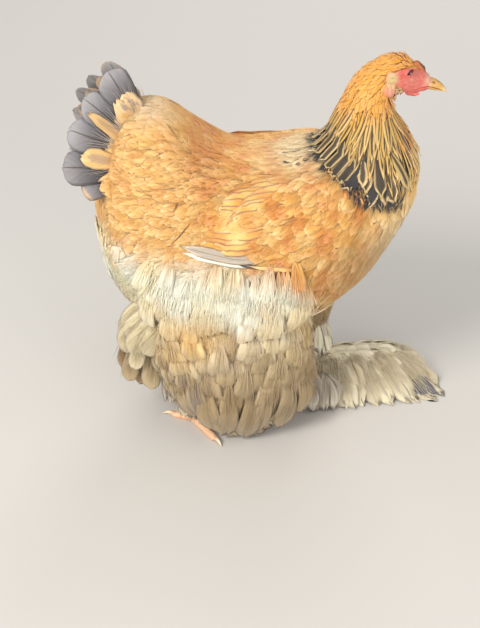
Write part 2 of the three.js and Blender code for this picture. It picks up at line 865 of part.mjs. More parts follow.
function clawSolid(leg, toe, grow = 0) {
  const { run, root } = toePlan(leg, toe);
  const centres = [0, 0.35, 0.7, 1].map((t, i) => {
    const ends = i === 0 ? -grow : i === 3 ? grow * 2 : 0;
    const c = root.clone().addScaledVector(run, 2 + toe.length + gap + claw.length * t + ends);
    c.z = 4 + 1.6 * Math.sin(Math.PI * t) - 3.1 * t * t;
    return c;
  });
  return tube(centres, [1, 0.8, 0.52, 0.15].map((k) => claw.base * k + grow), 7, 0.85);
}

const fan = { count: 7, farCount: 4, width: 30 };

// A foot's feather fan as one filled body, out to a share of the blades' length.
function fanBody(leg, reach) {
  const ridge = evenPath(leg.ridge);
  const near = evenPath(leg.tips);
  const far = evenPath(leg.far);
  const rings = places(0, 1, 7).map((t) => {
    const top = ridge(t);
    const foot = vec(top.x, top.y, 0.5);
    const nearEdge = foot.clone().lerp(near(t), reach);
    const farEdge = foot.clone().lerp(far(t), reach);
    const crest = top.clone().setZ(top.z - 3);
    const nearBulge = crest.clone().lerp(nearEdge, 0.5);
    nearBulge.z += crest.z * 0.12;
    const farBulge = crest.clone().lerp(farEdge, 0.5);
    farBulge.z += crest.z * 0.12;
    return [
      crest,
      nearBulge,
      nearEdge.clone().setZ(3),
      nearEdge.clone().setZ(0.4),
      farEdge.clone().setZ(0.4),
      farEdge.clone().setZ(3),
      farBulge,
    ];
  });
  return loft(rings);
}

// Fan blades bow over the ridge and come down to the floor, each over the next.
function fanBlades(leg) {
  const ridge = evenPath(leg.ridge);
  const blades = [];
  for (const [path, count, share] of [
    [evenPath(leg.tips), fan.count, 1],
    [evenPath(leg.far), fan.farCount, -1],
  ]) {
    for (const t of places(0, 1, count)) {
      const top = ridge(t);
      const tip = path(t);
      const out = tip.clone().sub(top).setZ(0).normalize();
      blades.push(
        freeBlade({
          root: top.clone().addScaledVector(out, 1).setZ(top.z - 7),
          tip,
          facing: vec(out.x * 0.4, out.y * 0.4, 1).normalize(),
          bow: 9,
          width: fan.width * vary(0.05),
          outline: "round",
          roll: leg.side * share * -0.18,
        }),
      );
    }
  }
  return blades;
}

// Soft feathers that hang from the rear of the thigh over the hock.
const hockTiers = [
  { z: 96, from: 150, to: 252, count: 5, out: 12, drop: 40, bow: 6 },
  { z: 134, from: 126, to: 250, count: 5, out: 20, drop: 62, bow: 13 },
];

function hockBlades(leg) {
  const at = fairStations(thighStations(leg), "z");
  const blades = [];
  for (const tier of hockTiers) {
    const s = at(tier.z);
    for (const degrees of places(tier.from, tier.to, tier.count)) {
      const a = rad(degrees);
      const out = vec(Math.cos(a), -leg.side * Math.sin(a), 0);
      const root = vec(s.x + s.deep * 0.94 * out.x, leg.side * s.y + s.wide * 0.94 * out.y, tier.z);
      const tip = root.clone().addScaledVector(out, tier.out);
      tip.z -= tier.drop * vary(0.08);
      const facing = vec(out.x, out.y, 0.2).normalize();
      const form = { bow: tier.bow, width: 31, outline: "round", roll: 0, steps: 3 };
      blades.push(freeBlade({ root, tip, facing, ...form }));
    }
  }
  return blades;
}

// Assembly: each later node is cut clear of the nodes it meets

const hen = new THREE.Group();
const placed = [];

// Corners nearer than this are drawn together, and the slivers between them go.
const closest = 0.04;

function tidied(solid) {
  const m = solid.getMesh();
  const at = (i) => vec(...m.vertProperties.subarray(i * m.numProp, i * m.numProp + 3));
  const points = Array.from({ length: m.numVert }, (_, i) => at(i));
  const chief = points.map((_, i) => i);
  const find = (i) => (chief[i] === i ? i : (chief[i] = find(chief[i])));
  for (let k = 0; k < m.triVerts.length; k += 3) {
    for (const [a, b] of [[0, 1], [1, 2], [2, 0]]) {
      const i = find(m.triVerts[k + a]);
      const j = find(m.triVerts[k + b]);
      if (i !== j && points[i].distanceTo(points[j]) < closest) chief[Math.max(i, j)] = Math.min(i, j);
    }
  }
  const faces = new Map();
  for (let k = 0; k < m.triVerts.length; k += 3) {
    const f = [0, 1, 2].map((n) => find(m.triVerts[k + n]));
    if (new Set(f).size < 3) continue;
    const key = [...f].sort((a, b) => a - b).join(" ");
    if (faces.has(key)) faces.delete(key);
    else faces.set(key, f);
  }
  const kept = [...new Set([...faces.values()].flat())];
  const order = new Map(kept.map((i, n) => [i, n]));
  return {
    points: kept.map((i) => points[i]),
    faces: [...faces.values()].map((f) => f.map((i) => order.get(i))),
  };
}

function meshOf(solid) {
  const { points, faces } = tidied(solid);
  const positions = new Float32Array(points.flatMap((p) => [p.x, p.y, p.z]));
  const geometry = new THREE.BufferGeometry();
  geometry.setAttribute("position", new THREE.BufferAttribute(positions, 3));
  geometry.setIndex(faces.flat());
  geometry.computeVertexNormals();
  return geometry;
}

function place(name, solid, material) {
  const mesh = new THREE.Mesh(meshOf(solid), material);
  mesh.name = name;
  hen.add(mesh);
  placed.push(mesh);
}

const torsoGrown = torsoSolid(gap);
const headGrown = headSolid(gap);
const neckGrown = feathered ? neckSolid(gap) : neckSolid(gap, 7);
const thighs = {};

const bellyEdge = { back: -190, front: 112, high: 262, low: 226 };

// The belly's cream fluff fills the torso below a slanting line and behind the breast.
function bellyBlock(grow) {
  const rings = [bellyEdge.back, bellyEdge.front + grow].map((x, i) => {
    const top = (i ? bellyEdge.low : bellyEdge.high) + grow;
    return [vec(x, -200, 60), vec(x, 200, 60), vec(x, 200, top), vec(x, -200, top)];
  });
  return loft(rings);
}

const trunk = torsoSolid(0);
place("torso", largest(trunk.subtract(bellyBlock(gap))), buff);
place("belly", trunk.intersect(bellyBlock(0)), cream);
const wingShoulders = [wingSolid(1, gap), wingSolid(-1, gap)];
const cape = feathered ? join([neckSolid(0), ...hackle()]) : neckSolid(0, 7);
place("neck", largest(cape.subtract(join([torsoGrown, headGrown, ...wingShoulders]))), hackleTone);

const sockets = [1, -1].map((side) => {
  const c = eyeCentre(side);
  return ballAt(c, eye.radius + gap, eye.radius + gap, eye.radius + gap, 10, 7);
});
const skull = headSolid(0);
const face = skull.intersect(maskBlock(0));
const lidRoom = [1, -1].map((side) => {
  const reach = lid.radius + gap;
  return ballAt(eyeCentre(side), reach * 1.12, reach * 0.86, reach * 0.95, 10, 6);
});
place("head", largest(skull.subtract(join([maskBlock(gap), ...lidRoom]))), buff);
const lids = [lidSolid(1), lidSolid(-1)];
const masked = join([face, ...lids.map((l) => l.outer)]);
place("face", largest(masked.subtract(join([...sockets, ...lids.map((l) => l.opening)]))), redSkin);
for (const [name, side] of [["left", 1], ["right", -1]]) {
  const ball = ballAt(eyeCentre(side), eye.radius, eye.radius, eye.radius, 10, 7);
  place(`eye_${name}`, ball, eyeTone);
  place(`wattle_${name}`, largest(wattleSolid(side).subtract(headGrown)), redSkin);
  const lobe = lobeSolid(side).subtract(join([headGrown, neckGrown]));
  place(`earlobe_${name}`, largest(lobe), paleLobe);
}
const nostrils = [1, -1].map((side) => {
  return ballAt(headPoint(beak.base + 7.5, side * 5.3, -5.6), 2.6, 1.5, 1.1, 8, 5);
});
place("beak_upper", beakHalf(true).subtract(join(nostrils)), horn);
place("beak_lower", beakHalf(false), horn);
place("comb", largest(combSolid().subtract(headGrown)), redSkin);

for (const [name, side] of [["left", 1], ["right", -1]]) {
  const wing = feathered ? join([wingSolid(side), ...wingBlades(side)]) : wingSolid(side);
  place(`wing_${name}`, largest(wing.subtract(join([torsoGrown, neckGrown]))), buff);
}
const tailSolid = feathered ? join([tailBody(0.66), ...tailBlades()]) : tailBody(1);
place("tail", largest(tailSolid.subtract(torsoGrown)), slate);

for (const [name, leg] of Object.entries(legs)) {
  const thigh = feathered ? join([thighSolid(leg, 0), ...hockBlades(leg)]) : thighSolid(leg, 0);
  thighs[name] = largest(thigh.subtract(torsoGrown));
  place(`thigh_${name}`, thighs[name], cream);
  const thighGrown = join([thighSolid(leg, gap), torsoGrown]);
  const shankNode = shankSolid(leg).subtract(join([thighGrown, blockOf(vec(-600, -600, -20), vec(600, 600, shankFoot))]));
  const ankle = ballAt(vec(leg.x, leg.y, 5), 9, 9, 8, 9, 6);
  const toeSolids = toes.map((toe) => toeSolid(leg, toe));
  const fanSolid = feathered ? [fanBody(leg, 0.45), ...fanBlades(leg)] : [fanBody(leg, 1)];
  const foot = join([ankle, ...toeSolids, ...fanSolid]);
  const claws = toes.map((toe) => clawSolid(leg, toe, gap));
  const cuts = join([belowFloor, thighGrown, shankGrown(leg), ...claws]);
  place(`shank_${name}`, largest(shankNode), cream);
  place(`foot_${name}`, largest(foot.subtract(cuts)), scaled);
  for (const toe of toes) {
    place(`claw_${toe.name}_${name}`, clawSolid(leg, toe).subtract(belowFloor), horn);
  }
}

// The box is centred over the origin, with the soles on z = 0.
hen.updateMatrixWorld(true);
const box = new THREE.Box3().setFromObject(hen);
const centre = box.getCenter(vec(0, 0, 0));
hen.position.set(-centre.x, -centre.y, -box.min.z);

export default hen;
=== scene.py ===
import math

import bpy
import numpy as np
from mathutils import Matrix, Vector
from mathutils.bvhtree import BVHTree
from mathutils.kdtree import KDTree


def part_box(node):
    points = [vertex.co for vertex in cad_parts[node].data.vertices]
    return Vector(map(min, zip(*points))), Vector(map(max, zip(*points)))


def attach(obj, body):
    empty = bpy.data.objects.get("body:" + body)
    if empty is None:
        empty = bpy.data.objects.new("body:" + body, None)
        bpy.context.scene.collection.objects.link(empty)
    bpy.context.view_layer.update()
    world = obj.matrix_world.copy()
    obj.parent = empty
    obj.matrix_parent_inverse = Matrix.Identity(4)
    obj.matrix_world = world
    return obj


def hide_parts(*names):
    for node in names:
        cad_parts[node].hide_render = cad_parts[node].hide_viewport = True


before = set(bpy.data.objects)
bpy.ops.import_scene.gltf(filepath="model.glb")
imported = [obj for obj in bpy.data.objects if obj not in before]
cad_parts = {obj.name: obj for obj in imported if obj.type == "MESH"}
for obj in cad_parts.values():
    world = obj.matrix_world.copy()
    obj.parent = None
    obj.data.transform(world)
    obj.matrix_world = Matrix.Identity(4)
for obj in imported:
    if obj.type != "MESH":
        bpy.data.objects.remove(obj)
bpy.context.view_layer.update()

# Lengths are mm in the hen's own frame: +x to the beak, +y to the hen's left, z = 0 the floor.
# The hen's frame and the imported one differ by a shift, found from the left eye.
eyeHome = np.array([184.375, 15.6, 432.62])
shift = np.array([list(c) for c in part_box("eye_left")]).mean(axis=0) - eyeHome * 0.001


def toScene(points):
    # The hen's millimetres as the scene's metres.
    return points * 0.001 + shift


# shapes


def fair(stations, at):
    # Cubic curves through rows of stations; the slope at a row is the mean of the slopes beside it.
    table = np.array(stations, float)
    x, y = table[:, 0], table[:, 1:]
    step = np.diff(x)[:, None]
    rise = np.diff(y, axis=0) / step
    slope = np.vstack([rise[:1], (rise[1:] + rise[:-1]) / 2, rise[-1:]])
    at = np.clip(np.asarray(at, float), x[0], x[-1])
    i = np.clip(np.searchsorted(x, at, side="right") - 1, 0, len(x) - 2)
    h = step[i]
    t = (at - x[i])[..., None] / h
    return (
        (2 * t**3 - 3 * t**2 + 1) * y[i] + (t**3 - 2 * t**2 + t) * h * slope[i]
        + (3 * t**2 - 2 * t**3) * y[i + 1] + (t**3 - t**2) * h * slope[i + 1]
    )


def ring(angle, squareness):
    # A unit closed curve between a circle (2) and a box: cosine and sine raised to 2 / squareness.
    c, s = np.cos(angle), np.sin(angle)
    power = 2 / squareness
    return np.sign(c) * np.abs(c) ** power, np.sign(s) * np.abs(s) ** power


def unit(v):
    # Each vector over its own length.
    return v / np.maximum(np.linalg.norm(v, axis=-1, keepdims=True), 1e-9)


def smooth(low, high, value):
    # 0 below low, 1 above high, an S curve between.
    t = np.clip((value - low) / (high - low), 0, 1)
    return t * t * (3 - 2 * t)


def keepAbove(points, least):
    # Lifts what lies lower than least up to it, so that nothing dips into the floor.
    points[..., 2] = np.maximum(points[..., 2], least)


def onceRound(count):
    # Angles once round a section, as one row.
    return np.linspace(0, 2 * math.pi, count, endpoint=False)[None, :]


def ripple(points, size, seed):
    # A soft irregular field from -1 to 1: seven sine waves in seeded directions, about size mm long.
    r = np.random.default_rng(seed)
    waves = unit(r.normal(size=(7, 3))) * (2 * math.pi / size) * r.uniform(0.6, 1.5, (7, 1))
    phases = r.uniform(0, 2 * math.pi, 7)
    return np.clip(np.sin(points @ waves.T + phases).sum(axis=-1) / 3.2, -1, 1)


def gridQuads(rows, cols, wrap=False):
    # The four-cornered faces of a grid of points, closed round its columns when wrapped.
    i = np.arange(rows - 1)[:, None] * cols
    j = np.arange(cols if wrap else cols - 1)[None, :]
    k = (j + 1) % cols
    return np.stack([i + j, i + k, i + k + cols, i + j + cols], -1).reshape(-1, 4)


def meshOf(name, points, faceSets):
    # Faces are arrays of corner numbers, one array for each count of corners.
    mesh = bpy.data.meshes.new(name)
    corners = np.concatenate([f.ravel() for f in faceSets]).astype(np.int32)
    sizes = np.concatenate([np.full(len(f), f.shape[1]) for f in faceSets])
    starts = (np.cumsum(sizes) - sizes).astype(np.int32)
    mesh.vertices.add(len(points))
    mesh.vertices.foreach_set("co", toScene(points).astype(np.float32).ravel())
    mesh.loops.add(len(corners))
    mesh.loops.foreach_set("vertex_index", corners)
    mesh.polygons.add(len(starts))
    mesh.polygons.foreach_set("loop_start", starts)
    mesh.update(calc_edges=True)
    mesh.polygons.foreach_set("use_smooth", np.ones(len(starts), bool))
    return mesh, corners


def outward(points, faceSets):
    # Turns every face round when the closed shape's signed volume is negative.
    volume = 0.0
    for f in faceSets:
        a = points[f[:, 0]]
        for k in range(1, f.shape[1] - 1):
            volume += np.einsum("ij,ij->i", a, np.cross(points[f[:, k]], points[f[:, k + 1]])).sum()
    return faceSets if volume > 0 else [f[:, ::-1] for f in faceSets]


def addCorners(mesh, name, values):
    # A UV map: one place for each corner of each face.
    layer = mesh.uv_layers.new(name=name)
    layer.data.foreach_set("uv", values.astype(np.float32).ravel())


def addColour(mesh, name, values):
    # A colour for each point, kept under this name.
    rgba = np.ones((len(values), 4), np.float32)
    rgba[:, :3] = values
    mesh.attributes.new(name, "FLOAT_COLOR", "POINT").data.foreach_set("color", rgba.ravel())


def addNumber(mesh, name, values):
    # A number for each point.
    mesh.attributes.new(name, "FLOAT", "POINT").data.foreach_set("value", values.astype(np.float32))


def placed(name, data):
    # A new object in the scene.
    obj = bpy.data.objects.new(name, data)
    bpy.context.scene.collection.objects.link(obj)
    return obj


def addPiece(name, mesh, material, slot, stands=()):
    # A finished piece, riding on the root, in place of the CAD nodes it stands for.
    obj = placed(name, mesh)
    mesh.materials.append(material)
    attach(obj, "root")
    if stands:
        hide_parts(*stands)
    print("piece", name, len(mesh.polygons), "faces")


def loftFaces(rows, cols):
    # A stack of closed rings, shut by a point at each end (the last two points).
    ringed = gridQuads(rows, cols, True)
    j = np.arange(cols)
    k = (j + 1) % cols
    start = np.stack([np.full(cols, rows * cols), k, j], -1)
    last = (rows - 1) * cols
    end = np.stack([np.full(cols, rows * cols + 1), last + j, last + k], -1)
    return [ringed, np.vstack([start, end])]


def loftPoints(rings):
    # The rings' points, then the middle of the first ring and of the last.
    return np.vstack([rings.reshape(-1, 3), rings[0].mean(axis=0), rings[-1].mean(axis=0)])


# the hen's sizes, as in the part

torsoStations = [  # x, low, high, half
    (-166, 246, 300, 30), (-160, 206, 334, 56), (-145, 170, 372, 80), (-120, 144, 390, 97),
    (-90, 140, 387, 108), (-60, 134, 366, 114), (-30, 128, 345, 115), (0, 126, 333, 115),
    (35, 126, 333, 112), (70, 130, 340, 106), (105, 144, 346, 95), (135, 167, 346, 82),
    (165, 203, 338, 64), (187, 240, 326, 44), (200, 270, 308, 20),
]
neckStations = [  # z, back, front, half
    (282, 106, 194, 64), (305, 94, 202, 71), (330, 92, 202, 66), (355, 94, 193, 53),
    (380, 101, 177, 39), (402, 112, 170, 29), (422, 124, 170, 22), (437, 139, 170, 17),
]
headPlace = {"x": 172, "z": 428, "pitch": math.radians(9)}
headStations = [  # x, mid, tall, half
    (-26, -1, 11, 10), (-19, -1, 18, 15.5), (-8, -1.5, 22.5, 18.5), (3, -2.5, 22.5, 18.5),
    (13, -3.5, 20, 16.5), (22, -5, 16.5, 13.2), (30, -6.5, 12.5, 10), (36, -7.5, 9.5, 7.8),
]
wingStations = [  # x, low and high section angles
    (-22, 4, 46), (0, 2, 60), (40, 0, 66), (85, -7, 60), (122, -4, 46), (142, 8, 30),
]
sides = {"right": -1, "left": 1}
thighs = {"right": {"side": -1, "x": -20}, "left": {"side": 1, "x": 27}}
thighStations = [  # z, x offset, deep, y, wide
    (36, 26, 44, 58, 27), (54, 20, 62, 60, 37), (80, 8, 80, 62, 46), (112, 1, 92, 63, 51),
    (145, -1, 94, 63, 52), (175, 2, 84, 60, 47), (200, 5, 70, 56, 40),
]
coatDepth = {"torso": 7, "neck": 7, "head": 2.2, "thigh": 9, "wing": 4}


def headToHen(x, y, z):
    # The head's own frame (forward, left, up) turned down by its pitch and set in place.
    p = headPlace["pitch"]
    return np.stack([
        headPlace["x"] + x * math.cos(p) + z * math.sin(p),
        y + 0 * x,
        headPlace["z"] - x * math.sin(p) + z * math.cos(p),
    ], -1)


def onHead(x, angle, height=0.0):
    # The skull: rounded sections across its own axis, height outwards from their surface.
    s = fair(headStations, x)
    c, n = ring(angle, 2.15)
    return headToHen(x, c * (s[..., 2] + height), s[..., 0] + n * (s[..., 1] + height))


def wingBulge(x, angle):
    # The folded wing swells from the torso's side, most along its middle.
    s = fair(wingStations, x)
    across = np.clip((np.degrees(angle) - s[..., 0]) / (s[..., 1] - s[..., 0]), 0, 1)
    along = np.clip((x + 22) / 164, 0, 1)
    swell = np.sin(math.pi * across) ** 0.6
    inside = smooth(-30, 0, x) * (1 - smooth(120, 148, x))
    return 11 * swell * inside * (0.35 + 0.65 * np.sin(math.pi * np.minimum(1, along * 0.75 + 0.2)))


def onTorso(x, angle, height=0.0):
    # The torso: rounded sections across x, height outwards from their surface.
    s = fair(torsoStations, x)
    c, n = ring(angle, 2.25)
    tall, mid = (s[..., 1] - s[..., 0]) / 2, (s[..., 1] + s[..., 0]) / 2
    return np.stack([x + 0 * angle, c * (s[..., 2] + height), mid + n * (tall + height)], -1)


def torsoRings():
    # Sections of the torso, drawn in by the coat, swollen by the wings.
    x = np.linspace(-166, 200, 74)[:, None]
    a = onceRound(96)
    fold = np.where(np.cos(a) >= 0, a, math.pi - a)
    fold = (fold + math.pi) % (2 * math.pi) - math.pi
    height = wingBulge(x + 0 * a, fold) - coatDepth["torso"]
    rings = onTorso(x + 0 * a, a + 0 * x, height)
    ends = np.array([-166.0, 0.0, 200.0])
    rings[..., 0] = np.interp(rings[..., 0], ends, ends - np.sign(ends) * coatDepth["torso"])
    return rings


def neckRings():
    # Ovals across the neck, drawn in by the coat, less so towards the head.
    z = np.linspace(282, 437, 40)[:, None]
    a = onceRound(64)
    s = fair(neckStations, z + 0 * a)
    mid, deep = (s[..., 0] + s[..., 1]) / 2, (s[..., 1] - s[..., 0]) / 2
    slim = coatDepth["neck"] * (1 - 0.6 * smooth(370, 430, z))
    return np.stack([mid + np.cos(a) * (deep - slim), np.sin(a) * (s[..., 2] - slim), z + 0 * a], -1)


def headRings():
    # The skull's sections, drawn in by the short feathers.
    x = np.linspace(-26, 36, 40)[:, None]
    a = onceRound(56)
    return onHead(x + 0 * a, a + 0 * x, -coatDepth["head"])


def thighRings(leg):
    # Level sections down a thigh, drawn in by the fluff.
    z = np.linspace(40, 200, 40)[:, None]
    a = onceRound(64)
    s = fair(thighStations, z + 0 * a)
    c, n = ring(a + 0 * z, 2.2)
    d = coatDepth["thigh"]
    return np.stack([
        leg["x"] + s[..., 0] + c * (s[..., 1] - d),
        leg["side"] * s[..., 2] + n * (s[..., 3] - d),
        z + 0 * a,
    ], -1)


# materials


def linear(*colour):
    # A screen colour (0 to 255) as linear light.
    c = np.array(colour, float) / 255
    return np.where(c <= 0.04045, c / 12.92, ((c + 0.055) / 1.055) ** 2.4)


def feed(tree, value, socket):
    # Ties an output to a socket, or sets the socket's own value.
    if isinstance(value, bpy.types.NodeSocket):
        tree.links.new(value, socket)
    elif value is not None:
        if hasattr(value, "__len__") and len(value) == 3 and socket.type == "RGBA":
            value = (*value, 1.0)
        socket.default_value = value


def node(tree, kind, inputs=None, **settings):
    # A shader node with its settings made and its inputs fed.
    n = tree.nodes.new(kind)
    for key, value in settings.items():
        setattr(n, key, value)
    for key, value in (inputs or {}).items():
        feed(tree, value, n.inputs[key])
    return n


def calc(tree, operation, a, b=None, c=None, clamp=False):
    # One step of arithmetic, as a node.
    n = node(tree, "ShaderNodeMath", operation=operation, use_clamp=clamp)
    for socket, value in zip(n.inputs, (a, b, c)):
        feed(tree, value, socket)
    return n.outputs[0]


def ease(tree, value, low, high):
    # 0 below low, 1 above high, an S curve between, as nodes.
    n = node(tree, "ShaderNodeMapRange", interpolation_type="SMOOTHSTEP")
    for key, v in (("Value", value), ("From Min", low), ("From Max", high)):
        feed(tree, v, n.inputs[key])
    return n.outputs[0]


def blend(tree, amount, a, b, kind="MIX"):
    # Colour a where the amount is 0 and b where it is 1, as a node.
    n = node(tree, "ShaderNodeMix", data_type="RGBA", blend_type=kind)
    feed(tree, amount, n.inputs[0])
    feed(tree, a, n.inputs[6])
    feed(tree, b, n.inputs[7])
    return n.outputs[2]


def newGroup(name, takes, gives):
    # An empty node group with named inputs and outputs.
    group = bpy.data.node_groups.new(name, "ShaderNodeTree")
    for key, kind in takes:
        group.interface.new_socket(key, in_out="INPUT", socket_type=kind)
    for key, kind in gives:
        group.interface.new_socket(key, in_out="OUTPUT", socket_type=kind)
    start = group.nodes.new("NodeGroupInput")
    end = group.nodes.new("NodeGroupOutput")
    return group, start.outputs, end.inputs


def noise(tree, place, scale, detail=2.0, roughness=0.5):
    # Cloudy noise between 0 and 1, as a node.
    return node(tree, "ShaderNodeTexNoise", {
        "Vector": place, "Scale": scale, "Detail": detail, "Roughness": roughness}).outputs[0]


def carried(tree, name, kind="Color"):
    # What a piece's points carry under this name: a colour, or a number ("Fac").
    return node(tree, "ShaderNodeAttribute", attribute_name=name).outputs[kind]


def objectPlace(tree):
    # The place in the object's own metres.
    return node(tree, "ShaderNodeTexCoord").outputs["Object"]


def newMaterial(name, height, values):
    # A Principled material with these constants on its own sockets, and a bump when it has a height.
    m = bpy.data.materials.new(name)
    m.use_nodes = True
    t = m.node_tree
    shader = t.nodes["Principled BSDF"].inputs
    for key, value in values.items():
        shader[key].default_value = value
    if height:
        bump = node(t, "ShaderNodeBump", {"Strength": height[0], "Distance": height[1]})
        t.links.new(bump.outputs[0], shader["Normal"])
        return m, t, shader, bump.inputs["Height"]
    return m, t, shader, None


def showTint(t, shader, light, saturation=None):
    # The base colour is the tint that the points carry, made lighter or darker.
    shown = node(t, "ShaderNodeHueSaturation", {
        "Saturation": saturation, "Value": light, "Color": carried(t, "tint")})
    t.links.new(shown.outputs[0], shader["Base Color"])


number, hue, arrow = "NodeSocketFloat", "NodeSocketColor", "NodeSocketVector"


def vaneGroup():
    # A feather's look from its own map: shaft, barbs, a darker heart and a pale fringe, partly the feather's own
    # lacing and partly a painted highlight along its edge and tip.
    takes = [("Place", arrow), ("Tint", hue), ("Heart", hue), ("Spread", number), ("Tone", number),
             ("Barbs", number), ("Shaft", number), ("Fringe", number), ("Vary", number)]
    group, has, out = newGroup("featherVane", takes, [("Colour", hue), ("Height", number)])
    t = group
    place = node(t, "ShaderNodeSeparateXYZ", {"Vector": has["Place"]}).outputs
    across = calc(t, "MULTIPLY_ADD", place[0], 2.0, -1.0)
    side = calc(t, "ABSOLUTE", across)
    along = place[1]
    slant = calc(t, "SUBTRACT", calc(t, "MULTIPLY", along, 3.0), side)
    where = node(t, "ShaderNodeCombineXYZ", {
        "X": calc(t, "MULTIPLY", slant, 13.0), "Y": calc(t, "MULTIPLY", across, 1.3),
        "Z": calc(t, "MULTIPLY", has["Tone"], 37.0),
    }).outputs[0]
    streak = noise(t, where, 1.0, 3.0, 0.65)
    broad = noise(t, where, 0.22, 2.0)
    streakOff = calc(t, "SUBTRACT", streak, 0.5)
    broadOff = calc(t, "SUBTRACT", broad, 0.5)
    # heart: reaches Spread from the shaft, fading at the root and rounding off before the tip
    edge = calc(t, "MULTIPLY_ADD", streakOff, 0.35, side)
    nearTip = calc(t, "MULTIPLY", ease(t, along, 0.72, 1.0), 0.75)
    reach = calc(t, "SUBTRACT", has["Spread"], calc(t, "ADD", edge, nearTip))
    heart = ease(t, reach, -0.2, 0.16)
    colour = blend(t, heart, has["Tint"], has["Heart"])
    shaft = calc(t, "SUBTRACT", 1.0, ease(t, side, 0.015, 0.07))
    shaft = calc(t, "MULTIPLY", shaft, has["Shaft"])
    colour = blend(t, shaft, colour, blend(t, 1.0, colour, (0.42, 0.33, 0.26), "MULTIPLY"))
    light = calc(t, "MULTIPLY", calc(t, "ADD", streakOff, broadOff), has["Barbs"])
    # painted highlight, partly the feather's own pale lacing: lighter towards each edge and the tip
    fringe = ease(t, calc(t, "MAXIMUM", side, along), 0.72, 1.0)
    light = calc(t, "ADD", light, calc(t, "MULTIPLY", fringe, has["Fringe"]))
    light = calc(t, "ADD", light, calc(t, "MULTIPLY", calc(t, "SUBTRACT", has["Tone"], 0.5), has["Vary"]))
    shown = node(t, "ShaderNodeHueSaturation", {
        "Saturation": calc(t, "MULTIPLY_ADD", light, -0.8, 1.0),
        "Value": calc(t, "ADD", light, 1.0), "Color": colour,
    }).outputs[0]
    t.links.new(shown, out["Colour"])
    fine = calc(t, "SINE", calc(t, "MULTIPLY", slant, 150.0))
    height = calc(t, "ADD", calc(t, "MULTIPLY", streakOff, 1.1), calc(t, "MULTIPLY", fine, 0.12))
    height = calc(t, "ADD", height, calc(t, "MULTIPLY", shaft, 0.8))
    t.links.new(height, out["Height"])
    return group


vaneLook = vaneGroup()


featherLooks = {  # barbs, shaft, fringe, vary, bump, roughness, sheen, glow
    "buffFeather": (0.22, 0.12, 0.13, 0.1, 0.4, 0.76, 0.15, 0.12),
    "hackleFeather": (0.28, 0.3, 0.06, 0.2, 0.5, 0.6, 0.1, 0.12),
    "creamFeather": (0.13, 0.08, 0.04, 0.1, 0.45, 0.85, 0.2, 0.2),
    "hoodFeather": (0.16, 0.05, 0.05, 0.1, 0.35, 0.75, 0.2, 0.12),
    "slateFeather": (0.42, 0.9, 0.12, 0.18, 0.7, 0.6, 0.1, 0.08),
    "footFeather": (0.16, 0.3, 0.06, 0.12, 0.55, 0.78, 0.15, 0.15),
}


def featherMaterial(name, barbs, shaft, fringe, vary, bump, roughness, sheen, glow):
    # Reads the tint, heart, spread and tone that each feather carries, and its own across-along map.
    m, t, shader, height = newMaterial(name, (bump, 0.0006), {
        "Roughness": roughness, "Sheen Weight": sheen, "Sheen Roughness": 0.55, "Specular IOR Level": 0.3,
        "Subsurface Weight": glow, "Subsurface Radius": (0.006, 0.0045, 0.003), "Subsurface Scale": 1.0})
    look = node(t, "ShaderNodeGroup")
    look.node_tree = vaneLook
    takes = {
        "Place": node(t, "ShaderNodeUVMap", uv_map="Vane").outputs[0], "Tint": carried(t, "tint"),
        "Heart": carried(t, "heart"), "Spread": carried(t, "spread", "Fac"), "Tone": carried(t, "tone", "Fac"),
        "Barbs": barbs, "Shaft": shaft, "Fringe": fringe, "Vary": vary,
    }
    for key, value in takes.items():
        feed(t, value, look.inputs[key])
    t.links.new(look.outputs["Colour"], shader["Base Color"])
    t.links.new(look.outputs["Height"], height)
    return m


buffFeather, hackleFeather, creamFeather, hoodFeather, slateFeather, footFeather = (
    featherMaterial(name, *look) for name, look in featherLooks.items())

# the colour of skin and coat at a place: the hen's own colours, and painted shade

tones = {
    "hood": linear(236, 168, 76), "throat": linear(228, 156, 80), "muff": linear(222, 196, 150),
    "hackleEdge": linear(220, 180, 106), "hackleDark": linear(92, 76, 50), "capeDark": linear(56, 53, 54),
    "buff": linear(236, 179, 96), "amber": linear(228, 149, 75), "straw": linear(243, 205, 132),
    "creamBack": linear(238, 224, 186), "cushion": linear(235, 190, 118), "dip": linear(214, 141, 74),
    "cream": linear(255, 246, 210), "white": linear(255, 254, 236), "apricot": linear(255, 212, 134),
    "ash": linear(222, 206, 184), "tan": linear(206, 164, 112), "slate": linear(147, 144, 147),
    "slateDark": linear(84, 80, 83), "quill": linear(116, 88, 62), "footWhite": linear(212, 197, 166),
    "footSlate": linear(104, 104, 110), "down": linear(208, 196, 174), "greyDown": linear(166, 154, 138),
}
tones["tanShade"] = tones["tan"] * 0.8


def mix(a, b, amount):
    # a where the amount is 0, b where it is 1.
    amount = np.asarray(amount)[..., None]
    return a * (1 - amount) + b * amount


def layered(c, palette, layers):
    # Tones laid one over the other, each covering what is below it by its own share.
    for tone, share in layers:
        c = mix(c, palette[tone], share)
    return c


def near(p, centre, size):
    # 1 at a centre, falling to 0 about size away; the hen's two sides are alike.
    q = (np.stack([p[:, 0], np.abs(p[:, 1]), p[:, 2]], -1) - np.array(centre)) / np.array(size)
    return np.exp(-(q**2).sum(-1) * 1.5)


def bellyLine(p):
    # Height of the border between the buff coat and the cream fluff below it.
    x = p[:, 0]
    line = 262 - 0.12 * (x + 190)
    line = np.where(x > 40, 234 - 1.15 * (x - 40), line)
    return line + 9 * ripple(p, 42, 5) + 7 * ripple(p, 17, 6)


